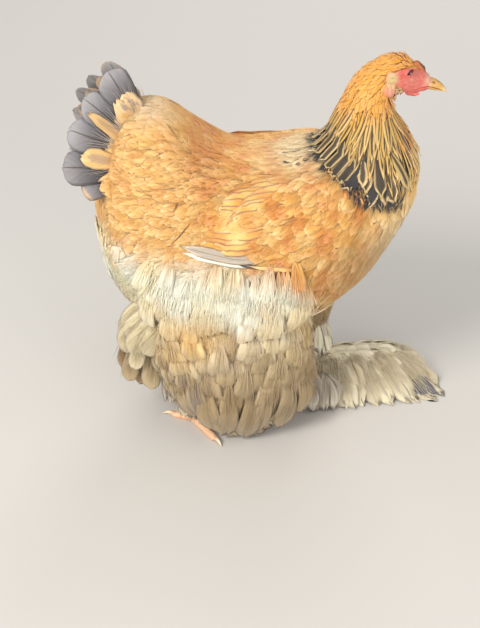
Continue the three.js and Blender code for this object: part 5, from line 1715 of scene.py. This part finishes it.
def slab(top, low):
    # A closed sheet: a grid of upper points, the same grid below, and walls round the edge.
    rows, cols = top.shape[:2]
    points = np.vstack([top.reshape(-1, 3), low.reshape(-1, 3)])
    quads = gridQuads(rows, cols)
    under = quads[:, ::-1] + rows * cols
    j, i = np.arange(cols - 1), np.arange(rows - 1)
    n = rows * cols
    last = (rows - 1) * cols
    walls = [
        np.stack([j + 1, j, j + n, j + 1 + n], -1),
        np.stack([last + j, last + j + 1, last + j + 1 + n, last + j + n], -1),
        np.stack([i * cols, (i + 1) * cols, (i + 1) * cols + n, i * cols + n], -1),
        np.stack([(i + 2) * cols - 1, (i + 1) * cols - 1, (i + 1) * cols - 1 + n, (i + 2) * cols - 1 + n], -1),
    ]
    return points, [np.vstack([quads, under] + walls)]


def slabPiece(name, top, low, tint, *stands):
    # A slab of red skin; its lower side takes the upper side's tints.
    flat = tint.reshape(-1, 3)
    tintedPiece(name, *slab(top, low), np.vstack([flat, flat]), redSkin, "red_skin", stands)


def buildFace():
    # The skull's surface, sunk under the feathers; lids swell round a slit, below a brow, above a jaw fold.
    x = np.linspace(-15, 37.4, 112)[:, None]
    a = np.linspace(-math.pi / 2 - 2.75, -math.pi / 2 + 2.75, 280)[None, :]
    x, a = x + 0 * a, a + 0 * x
    s = fair(headStations, x)
    _, n = ring(a, 2.15)
    hz = s[..., 0] + n * s[..., 1]
    bare = bareness(x, hz)
    dx, dz = x - slit["x"], hz - slit["z"]
    c, w = math.cos(slit["turn"]), math.sin(slit["turn"])
    u, v = dx * c + dz * w, dz * c - dx * w
    far = np.hypot(dx, dz)
    lens = np.where(np.abs(u) < slit["half"], slit["open"] * (1 - (u / slit["half"]) ** 2), 0)
    gap = np.abs(v) - lens + np.maximum(0, np.abs(u) - slit["half"]) * 0.8
    height = slit["dome"] * np.exp(-((far / slit["wide"]) ** 2))
    height += 0.5 * np.exp(-((gap - 0.55) ** 2) / 0.16) + 0.16 * np.sin(gap * 4.2) * np.exp(-gap / 3.2) * (gap > 0)
    height += 0.9 * np.exp(-((dz - 6.2) ** 2) / 7 - dx**2 / 110)
    fold = fair([(-4, -21), (9.8, -20.5), (19.7, -15.6), (32.5, -10.4), (38, -9)], x)[..., 0]
    drop = hz - fold
    crease = smooth(4, 12, x)
    height += crease * (
        -0.9 * np.exp(-(drop**2) / 0.5) + 0.9 * np.exp(-((drop + 1.8) ** 2) / 2.2)
        + 0.4 * np.exp(-((drop - 1.6) ** 2) / 1.6))
    ear = np.exp(-((x + 5.6) ** 2 / 20 + (hz + 3.2) ** 2 / 36))
    height += -1.2 * np.exp(-((x + 3.8) ** 2 + (hz + 1.5) ** 2) / 2.2) + 1.3 * ear
    spots = headToHen(x, np.sin(a) * 0, hz)
    spots[..., 1] = np.cos(a) * 18
    height += 0.16 * ripple(spots, 2.4, 21) + 0.22 * ripple(spots, 6.5, 22)
    height = np.minimum(height, fair([(-30, 9), (5, 9), (8.6, 3.6), (11.5, 0.9), (20, 0)], hz)[..., 0])
    height = height * bare - 6.0 * (1 - bare) - 0.9 * smooth(35.2, 37.4, x)
    height = np.where(gap < 0.12, height - 6.0 * smooth(0.12, -0.35, gap), height)
    top = onHead(x, a, height)
    low = onHead(x, a, np.minimum(height - 1.2, -4.4))
    tint = layered(headTones["face"], headTones, (
        ("deep", np.exp(-((x - 3) ** 2 / 22 + (hz - 3.5) ** 2 / 30)) * 0.85),
        ("deep", np.exp(-((far / 4.6) ** 2)) * 0.35),
        ("pale", np.exp(-((x - 17) ** 2 / 40 + (hz + 1) ** 2 / 26)) * 0.55),
        ("cere", smooth(28, 36, x) * smooth(-12, -4, hz) * 0.8),
        ("deep", crease * np.exp(-(drop**2) / 1.4) * 0.6),
        ("ear", np.clip(1.5 * np.exp(-((x + 6.4) ** 2 / 40 + (hz + 3) ** 2 / 70)), 0, 1)),
        ("rim", np.exp(-(np.maximum(gap, 0) ** 2) / 0.12)),
    ))
    slabPiece("face_skin", top, low, tint, "face")


def ballRings(rows, cols):
    # A unit ball's rings from one pole to the other, without the poles.
    t = np.linspace(0, math.pi, rows + 2)[1:-1][:, None]
    a = onceRound(cols)
    return np.sin(t) * np.cos(a), np.sin(t) * np.sin(a), np.cos(t) + 0 * a


# pupil and iris in degrees from the pole
eyeSizes = {"centre": (12.4, 13.2, 6.0), "radius": 5.0, "cornea": 0.35, "pupil": 23, "iris": 35}


def buildEyes():
    # A ball whose pole looks out: black pupil, brown iris with spokes, dark rim, a slight cornea bulge.
    cx, cy, cz = eyeSizes["centre"]
    px, pz, py = ballRings(44, 48)
    angle = np.arctan2(pz, px)
    off = np.degrees(np.arccos(np.clip(py, -1, 1)))
    radius = eyeSizes["radius"] + eyeSizes["cornea"] * (1 - smooth(20, 42, off))
    spokes = 0.5 + 0.5 * np.sin(angle * 23 + 2 * np.sin(angle * 7))
    tint = layered(headTones["iris"], headTones, (
        ("irisRim", 0.5 * spokes),
        ("irisRim", smooth(eyeSizes["iris"] - 5, eyeSizes["iris"] + 5, off)),
        ("pupil", 1 - smooth(eyeSizes["pupil"] - 1, eyeSizes["pupil"] + 1, off)),
    ))
    for key, side in sides.items():
        rings = headToHen(cx + px * radius, side * (cy + py * radius), cz + pz * radius)
        loftPiece("eyeball_" + key, rings, tint, eyeGloss, "eye_gloss", "eye_" + key)


buildFace()
buildEyes()


lobeSizes = {"x": -5.2, "y": 16.4, "z": -15.0, "deep": 6.4, "swell": 0.8, "thick": 3.4, "long": 9.5}


def buildLobes():
    # Hanging oval folds: cream by the ear, pink below, creased along their length.
    size = lobeSizes
    px, py, pz = ballRings(40, 44)
    crease = np.sin(px * 9 + pz * 4)
    fold = 1 + 0.05 * crease + 0.04 * ripple(np.stack([px, py, pz], -1) * 10, 5, 31)
    tint = layered(headTones["lobeLow"], headTones, (
        ("ear", smooth(-0.35, 0.75, pz)), ("deep", 0.25 * smooth(0.5, 1, crease * 0.5 + 0.5))))
    for key, side in sides.items():
        x = size["x"] + (size["deep"] + size["swell"] * (pz < 0) * -pz) * px * fold
        y = side * (size["y"] + size["thick"] * py * fold)
        rings = headToHen(x, y, size["z"] + size["long"] * pz * fold)
        loftPiece("lobe_" + key, rings, tint, paleSkin, "pale_skin", "earlobe_" + key)


wattleSizes = {"x": 22.5, "y": 6.2, "z": -21.2, "long": 7.4, "thick": 1.5, "tall": 2.5, "slope": 0.9, "wave": 0.7}


def buildWattles():
    # Small thin folds along the jaw, rippled at the lower edge.
    size = wattleSizes
    px, py, pz = ballRings(36, 44)
    wave = np.sin(px * 7) * (1 - pz) * 0.35
    tint = mix(headTones["wattle"], headTones["deep"], smooth(0.2, -1, pz) * 0.4)
    for key, side in sides.items():
        x = size["x"] + size["long"] * px
        y = side * (size["y"] + size["thick"] * py + wave * size["wave"])
        rings = headToHen(x, y, size["z"] + size["tall"] * pz + size["slope"] * px)
        loftPiece("jowl_" + key, rings, tint, redSkin, "red_skin", "wattle_" + key)


combSizes = {  # along the head, half the width; each row's place across, height and peas
    "start": 16.0, "end": 31, "side": 5.0, "rows": ((0, 2.4, 7), (-3.0, 1.7, 6), (3.0, 1.7, 6))}


def buildComb():
    # Three low rows of rounded peas on the forehead, the middle row highest.
    start, end, wide = (combSizes[key] for key in ("start", "end", "side"))
    x = np.linspace(start - 4, end + 2.5, 84)[:, None]
    y = np.linspace(-wide, wide, 58)[None, :]
    x, y = x + 0 * y, y + 0 * x
    s = fair(headStations, x)
    lift = 1 - np.clip(np.abs(y) / s[..., 2], 0, 0.999) ** 2.15
    crown = s[..., 0] + s[..., 1] * lift ** (1 / 2.15)
    ends = smooth(start - 4, start + 6, x) * (1 - smooth(end - 1, end + 2.5, x))
    ends = ends * (1 - smooth(wide - 2.4, wide, np.abs(y)))
    peas = np.zeros(x.shape)
    for across, tall, count in combSizes["rows"]:
        t = (x - start - 1.5) / (end - start - 2)
        bead = np.abs(np.sin(math.pi * (t * count + 0.3 * across))) ** 0.7
        peas = np.maximum(peas, tall * (0.5 + 0.5 * bead) * np.exp(-(((y - across) / 1.4) ** 4)))
    height = ends * (1.9 + peas) - 4.0 * (1 - ends)
    tint = mix(headTones["combLow"], headTones["comb"], smooth(1.6, 4.0, height + 0.25 * (x - 24)))
    slabPiece("pea_comb", headToHen(x, y, crown + height), headToHen(x, y, crown - 5.5), tint, "comb")


bill = {"base": 34.0, "length": 26.2, "deep": 8.8, "half": 7.4, "droop": 6.2}


def buildBill():
    # Each half: arched sections along a drooping line, down to a hooked or blunt tip; nostrils under a flap.
    for upper in (True, False):
        t = np.linspace(0, 1, 70)[:, None] ** 0.9
        arc = np.linspace(0, math.pi, 45)[None, :-1]
        floor = np.linspace(1, -1, 13)[None, :-1]
        length = bill["length"] - (0 if upper else 4.5)
        fade = (1 - t**2.3) ** 0.62 if upper else (1 - t**1.8) ** 0.7 * (1 - 0.12 * t)
        deep = bill["deep"] * fade * (1.0 if upper else 0.62)
        half = bill["half"] * (1 - t**1.7) ** 0.75 * (1 - 0.25 * t)
        drop = bill["droop"] * t**1.9 * (1.0 if upper else 0.9)
        seam = -9.6 - drop
        ridge = 0.5 * np.exp(-(((arc - math.pi / 2) / 0.3) ** 2)) * fade if upper else 0
        rise = np.sin(arc) ** 0.9 * deep + ridge
        across = np.cos(arc) * half
        hx = bill["base"] + length * t + 0 * arc
        if upper:
            hole = np.exp(-((hx - 43.2) / 2.1) ** 2 - ((np.sin(arc) - 0.62) / 0.13) ** 2)
            flap = np.exp(-((hx - 42.6) / 3.0) ** 2 - ((np.sin(arc) - 0.8) / 0.12) ** 2)
            across = across * (1 - 0.3 * hole + 0.06 * flap)
            rise = rise * (1 + 0.03 * flap)
        sign, lip = (1, 0.35) if upper else (-1, -0.1)
        shell = np.stack([hx, across, seam + sign * rise - lip * np.abs(np.cos(arc)) ** 6], -1)
        flatX, flatZ = bill["base"] + length * t + 0 * floor, seam + sign * 0.4 + 0 * floor
        plate = np.stack([flatX, -floor * half * 0.9, flatZ], -1)
        rings = headToHen(*np.moveaxis(np.concatenate([shell, plate], axis=1), -1, 0))
        arcs = np.concatenate([np.sin(arc), 0 * floor], axis=1) + 0 * t
        along = t + 0 * arcs
        tint = layered(headTones["hornBase"], headTones, (
            ("horn", smooth(0.1, 0.4, along)), ("hornTip", smooth(0.6, 1.0, along) * 0.6)))
        if upper:
            tint = layered(tint, headTones, (
                ("cere", (1 - smooth(0.1, 0.3, along)) * 0.85),
                ("ridge", smooth(0.93, 0.995, arcs) * smooth(0.25, 0.6, along) * 0.85)))
            # painted shade: the nostril's dent darkened where its opening lies in shade
            tint[:, :hole.shape[1]] = mix(tint[:, :hole.shape[1]], headTones["ridge"], hole * 0.9)
        name = "upper" if upper else "lower"
        loftPiece("bill_" + name, rings, tint, hornGloss, "horn", "beak_" + name)


buildLobes()
buildWattles()
buildComb()
buildBill()
print("head made")

# shanks, toes and claws

# turn from the foot's heading (the outer toe's is each foot's own), length, thickness
toes = [("inner", -34, 46, 9.5), ("middle", 0, 64, 10.5), ("outer", None, 50, 9.5), ("hind", 186, 25, 8.5)]
footTones = {
    "scale": linear(240, 182, 138), "edge": linear(206, 132, 90), "pad": linear(232, 188, 150),
    "claw": linear(236, 214, 180), "clawBase": linear(214, 170, 130),
}
toeSizes = {"scute": 3.1, "claw": 14.2, "clawThick": 3.1, "clawHeight": 4, "clawDrop": 3.1, "floor": 0.15}
shankSizes = {"low": 7, "tall": 71, "lean": 4, "radius": 6.2, "scute": 5.2}


def tubeRings(centres, radii, cols, lumps=0.0):
    # Round sections square to a path; lumps swell them by row and by angle (90 degrees is up or forward).
    run = unit(np.gradient(centres, axis=0))
    side = np.stack([-run[:, 1], run[:, 0], 0 * run[:, 0]], -1)
    upright = np.abs(run[:, 2]) > 0.8
    side[upright] = [0, 1, 0]
    side = unit(side)
    over = np.cross(side, run)
    over = np.where(upright[:, None], -over, over)
    a = onceRound(cols)
    r = radii[:, None] + lumps
    return centres[:, None] + side[:, None] * (np.cos(a) * r)[..., None] + over[:, None] * (np.sin(a) * r)[..., None]


def buildToes(key):
    # Scutes step down the top of each toe like roof tiles; rounded pads lie below, flat on the floor.
    leg, size = legs[key], toeSizes
    ankle = np.array([leg["x"], leg["y"], 0])
    points, sets, tints, offset = [], {3: [], 4: []}, [], 0
    for name, turn, length, thick in toes:
        heading = math.radians(leg["heading"] + leg["side"] * (leg["outerTurn"] if turn is None else turn))
        run = np.array([math.cos(heading), math.sin(heading), 0])
        joints = 5 if length > 30 else 3
        t = np.linspace(0, 1, 120)
        radius = thick / 2 * (1.1 - 0.3 * t) * (1 + 0.05 * np.cos(t * 2 * math.pi * joints))
        radius[-6:] *= np.sqrt(np.linspace(1, 0.25, 6))
        centres = ankle + run * (1 + length * t)[:, None]
        centres[:, 2] = radius * 0.86
        a = onceRound(36)
        phase = (t[:, None] * length / size["scute"] + 0.12 * np.abs(np.cos(a))) % 1.0
        top = smooth(-0.1, 0.45, np.sin(a))
        pads = (1 - top) * 0.45 * np.abs(np.sin(t[:, None] * math.pi * joints))
        rings = tubeRings(centres, radius, 36, top * 0.42 * (1 - phase) ** 1.4 + pads)
        keepAbove(rings, size["floor"])
        tint = layered(footTones["scale"], footTones, (
            ("edge", top * smooth(0.72, 1.0, phase) * 0.9), ("pad", 1 - top)))
        points.append(loftPoints(rings))
        tints.append(loftTints(tint))
        for f in outward(points[-1], loftFaces(*rings.shape[:2])):
            sets[f.shape[1]].append(f + offset)
        offset += len(points[-1])
        # the claw: a curved tapering cone
        k = np.linspace(0, 1, 26)
        spine = ankle + run * (0.2 + length + size["claw"] * k)[:, None]
        spine[:, 2] = size["clawHeight"] + 1.6 * np.sin(math.pi * k) - size["clawDrop"] * k**2
        width = size["clawThick"] * np.sqrt(np.clip(1 - k * 0.96, 0, 1)) * (1 - 0.4 * k)
        rings = tubeRings(spine, width, 20)
        keepAbove(rings, size["floor"])
        tint = mix(footTones["clawBase"], footTones["claw"], smooth(0.1, 0.5, k)[:, None] + np.zeros((26, 20)))
        loftPiece(f"nail_{name}_{key}", rings, tint, hornGloss, "horn", f"claw_{name}_{key}")
    mesh, _ = meshOf("toes_" + key, np.vstack(points), [np.concatenate(sets[3]), np.concatenate(sets[4])])
    addColour(mesh, "tint", np.vstack(tints))
    addPiece("toes_" + key, mesh, scaleSkin, "horn")


def shankLine(leg, t):
    # From the foot (0) to the thigh (1), leaning a little back and outwards.
    lean = shankSizes["lean"] * t
    return np.stack([leg["x"] - lean, leg["y"] + leg["side"] * lean, shankSizes["low"] + shankSizes["tall"] * t], -1)


def buildShank(key):
    # Overlapping scutes round the shank: each ring of them swells to its lower edge.
    leg = legs[key]
    t = np.linspace(0, 1, 130)
    radius = shankSizes["radius"] + 1.3 * smooth(0.75, 1, t) + 0.8 * (1 - smooth(0, 0.12, t))
    a = onceRound(40)
    phase = (t[:, None] * shankSizes["tall"] / shankSizes["scute"] + 0.1 * np.abs(np.cos(a))) % 1.0
    lumps = 0.4 * phase**1.5 * (0.4 + 0.6 * smooth(-0.2, 0.6, np.sin(a)))
    rings = tubeRings(shankLine(leg, t), radius, 40, lumps)
    tint = mix(footTones["scale"], footTones["edge"], (1 - smooth(0.0, 0.22, phase)) * 0.8)
    loftPiece("shank_scales_" + key, rings, tint, scaleSkin, "horn", "shank_" + key)


def downyPiece(name, lines, outs, roots, tint, wide, form, down, seed, r):
    # Short soft feathers from the first half of the lines, loose down from the second.
    look = plainLook(tint, tint * 0.85, 0.2, r)
    count = len(lines)
    half = count // 2
    patches = legUnwrap(roots)
    soft = vanes(lines[:half], outs[:half], r.uniform(*wide, half), form, seed + 1)
    downy = plumes(lines[half:], outs[half:], r.uniform(12, 18, count - half), down, seed + 2)
    batches = [
        (shape, {key: value[part] for key, value in look.items()}, (patches[part], tuftPatch))
        for shape, part in ((soft, slice(0, half)), (downy, slice(half, count)))]
    coatPiece(name, batches, footFeather, "foot_feather")


tuftSizes = {  # count, angles round the shank, bulge, drop, lowest root (0 the foot, 1 the thigh), seed
    "right": (300, (-2.5, 0.2), 11, 24, 0.42, 301), "left": (300, (-3.1, 0.9), 15, 40, 0.02, 311),
}
puffSizes = {  # middle, top, reach, count, greyest, seed
    "puff_left": ((84, -34, 0), (88, -14, 36), (15, 13, 1), 150, 0.6, 321),
    "puff_fore": ((106, -30, 0), (104, -12, 34), (13, 14, 1), 130, 0.3, 323),
    "puff_right": ((-80, -66, 30), (-73, -60, 82), (10, 9, 1), 150, 0.35, 331),
}


def buildTuft(key, count, spread, bulge, drop, lowest, seed):
    # Soft down and short feathers round a shank, leaving it outwards and hanging over the toes.
    leg = legs[key]
    r = np.random.default_rng(seed)
    t = r.uniform(lowest, 1, count)
    a = r.uniform(*spread, count)
    out = np.stack([np.cos(a), np.sin(a), 0 * a], -1)
    roots = shankLine(leg, t) + out * 5.5
    long = r.uniform(0.75, 1.2, count) * drop
    away = bulge * r.uniform(0.6, 1.15, count)
    v = np.linspace(0, 1, 7)[None, :, None]
    lines = roots[:, None] + out[:, None] * (away[:, None, None] * np.sin(v * math.pi * 0.5))
    lines[..., 2] -= long[:, None] * v[..., 0] ** 1.7
    keepAbove(lines, 1.4 + 26 * lowest + r.uniform(0, 2, count)[:, None])
    outs = unit(out + [0, 0, 0.35])[:, None].repeat(7, axis=1)
    tint = mix(tones["cream"], tones["down"], r.uniform(0, 1, count))
    tint = mix(tint, tones["greyDown" if key == "left" else "tan"], r.uniform(0, 0.5, count))
    downyPiece("tuft_" + key, lines, outs, roots, tint, (12, 18), {
        "outline": "disc", "cols": 7, "fray": 0.16, "cup": 0.2, "thick": 0.4},
        {"barbs": 6, "puff": 3, "barb": 0.55}, seed, r)


def buildPuff(name, middle, top, reach, count, greyest, seed):
    # A soft ball of down: lines leave a high middle point and fall outwards to a ring near the floor.
    r = np.random.default_rng(seed)
    a = r.uniform(0, 2 * math.pi, count)
    out = np.stack([np.cos(a), np.sin(a), 0 * a], -1)
    far = r.uniform(0.3, 1.05, (count, 1))
    roots = np.array(top) + out * [3, 3, 0] * far
    tips = np.array(middle) + out * np.array(reach) * far
    tips[:, 2] += 1.5 + (1 - far[:, 0]) * 16 + r.uniform(0, 3, count)
    lines, outs = bowed(roots, tips, out * [0.8, 0.8, 0] + [0, 0, 0.5], 11 * far[:, 0], 9)
    keepAbove(lines, 1.3)
    tint = mix(tones["down"], tones["greyDown"], r.uniform(0, greyest, count))
    downyPiece(name, lines, outs, roots, tint, (10, 15), {
        "outline": "disc", "cols": 7, "fray": 0.08, "cup": 0.2, "thick": 0.35, "rounding": 0.0},
        {"barbs": 6, "puff": 2, "barb": 0.45}, seed, r)


for name in legs:
    buildToes(name)
    buildShank(name)
for name, sizes in tuftSizes.items():
    buildTuft(name, *sizes)
for name, sizes in puffSizes.items():
    buildPuff(name, *sizes)
print("legs and feet made")

# light, floor and camera


def softLight(name, place, size, watts, colour):
    # A round soft lamp that looks at the hen.
    data = bpy.data.lights.new(name, "AREA")
    data.shape, data.size, data.energy, data.color = "DISK", size, watts, colour
    lamp = placed(name, data)
    lamp.location = place
    lamp.rotation_euler = (Vector((0, 0, 0.22)) - Vector(place)).to_track_quat("-Z", "Y").to_euler()


lamps = {  # place, size, watts, colour
    "keyLight": ((-1.5, -1.7, 1.9), 1.1, 66, (1.0, 0.965, 0.91)),
    "fillLight": ((1.1, -2.0, 0.55), 1.6, 25, (1.0, 0.98, 0.95)),
    "rimLight": ((0.6, 2.2, 1.9), 1.4, 26, (1.0, 0.98, 0.95)),
}
for name, setting in lamps.items():
    softLight(name, *setting)
world = bpy.data.worlds.new("studio")
bpy.context.scene.world = world
world.use_nodes = True
background = world.node_tree.nodes["Background"].inputs
background["Color"].default_value, background["Strength"].default_value = (0.9, 0.9, 0.9, 1), 0.66


def buildFloor():
    # One pale matt square.
    reach = 4.0
    mesh = bpy.data.meshes.new("floor")
    corners = [(-reach, -reach, 0), (reach, -reach, 0), (reach, reach, 0), (-reach, reach, 0)]
    mesh.from_pydata(corners, [], [(0, 1, 2, 3)])
    mesh.materials.append(newMaterial("paleFloor", None, {"Base Color": (0.58, 0.56, 0.53, 1), "Roughness": 0.9})[0])
    placed("floor", mesh)


buildFloor()
view = {"distance": 2.0, "rise": math.radians(32), "aim": 0.113, "lens": 95.54}
cameraData = bpy.data.cameras.new("camera")
cameraData.sensor_fit, cameraData.sensor_height, cameraData.lens = "VERTICAL", 36, view["lens"]
camera = placed("camera", cameraData)
aim = Vector((shift[0], shift[1], view["aim"] + shift[2]))
camera.location = aim + Vector((0, -math.cos(view["rise"]), math.sin(view["rise"]))) * view["distance"]
camera.rotation_euler = (aim - camera.location).to_track_quat("-Z", "Y").to_euler()
bpy.context.scene.camera = camera
bpy.context.scene.view_settings.view_transform = "Standard"
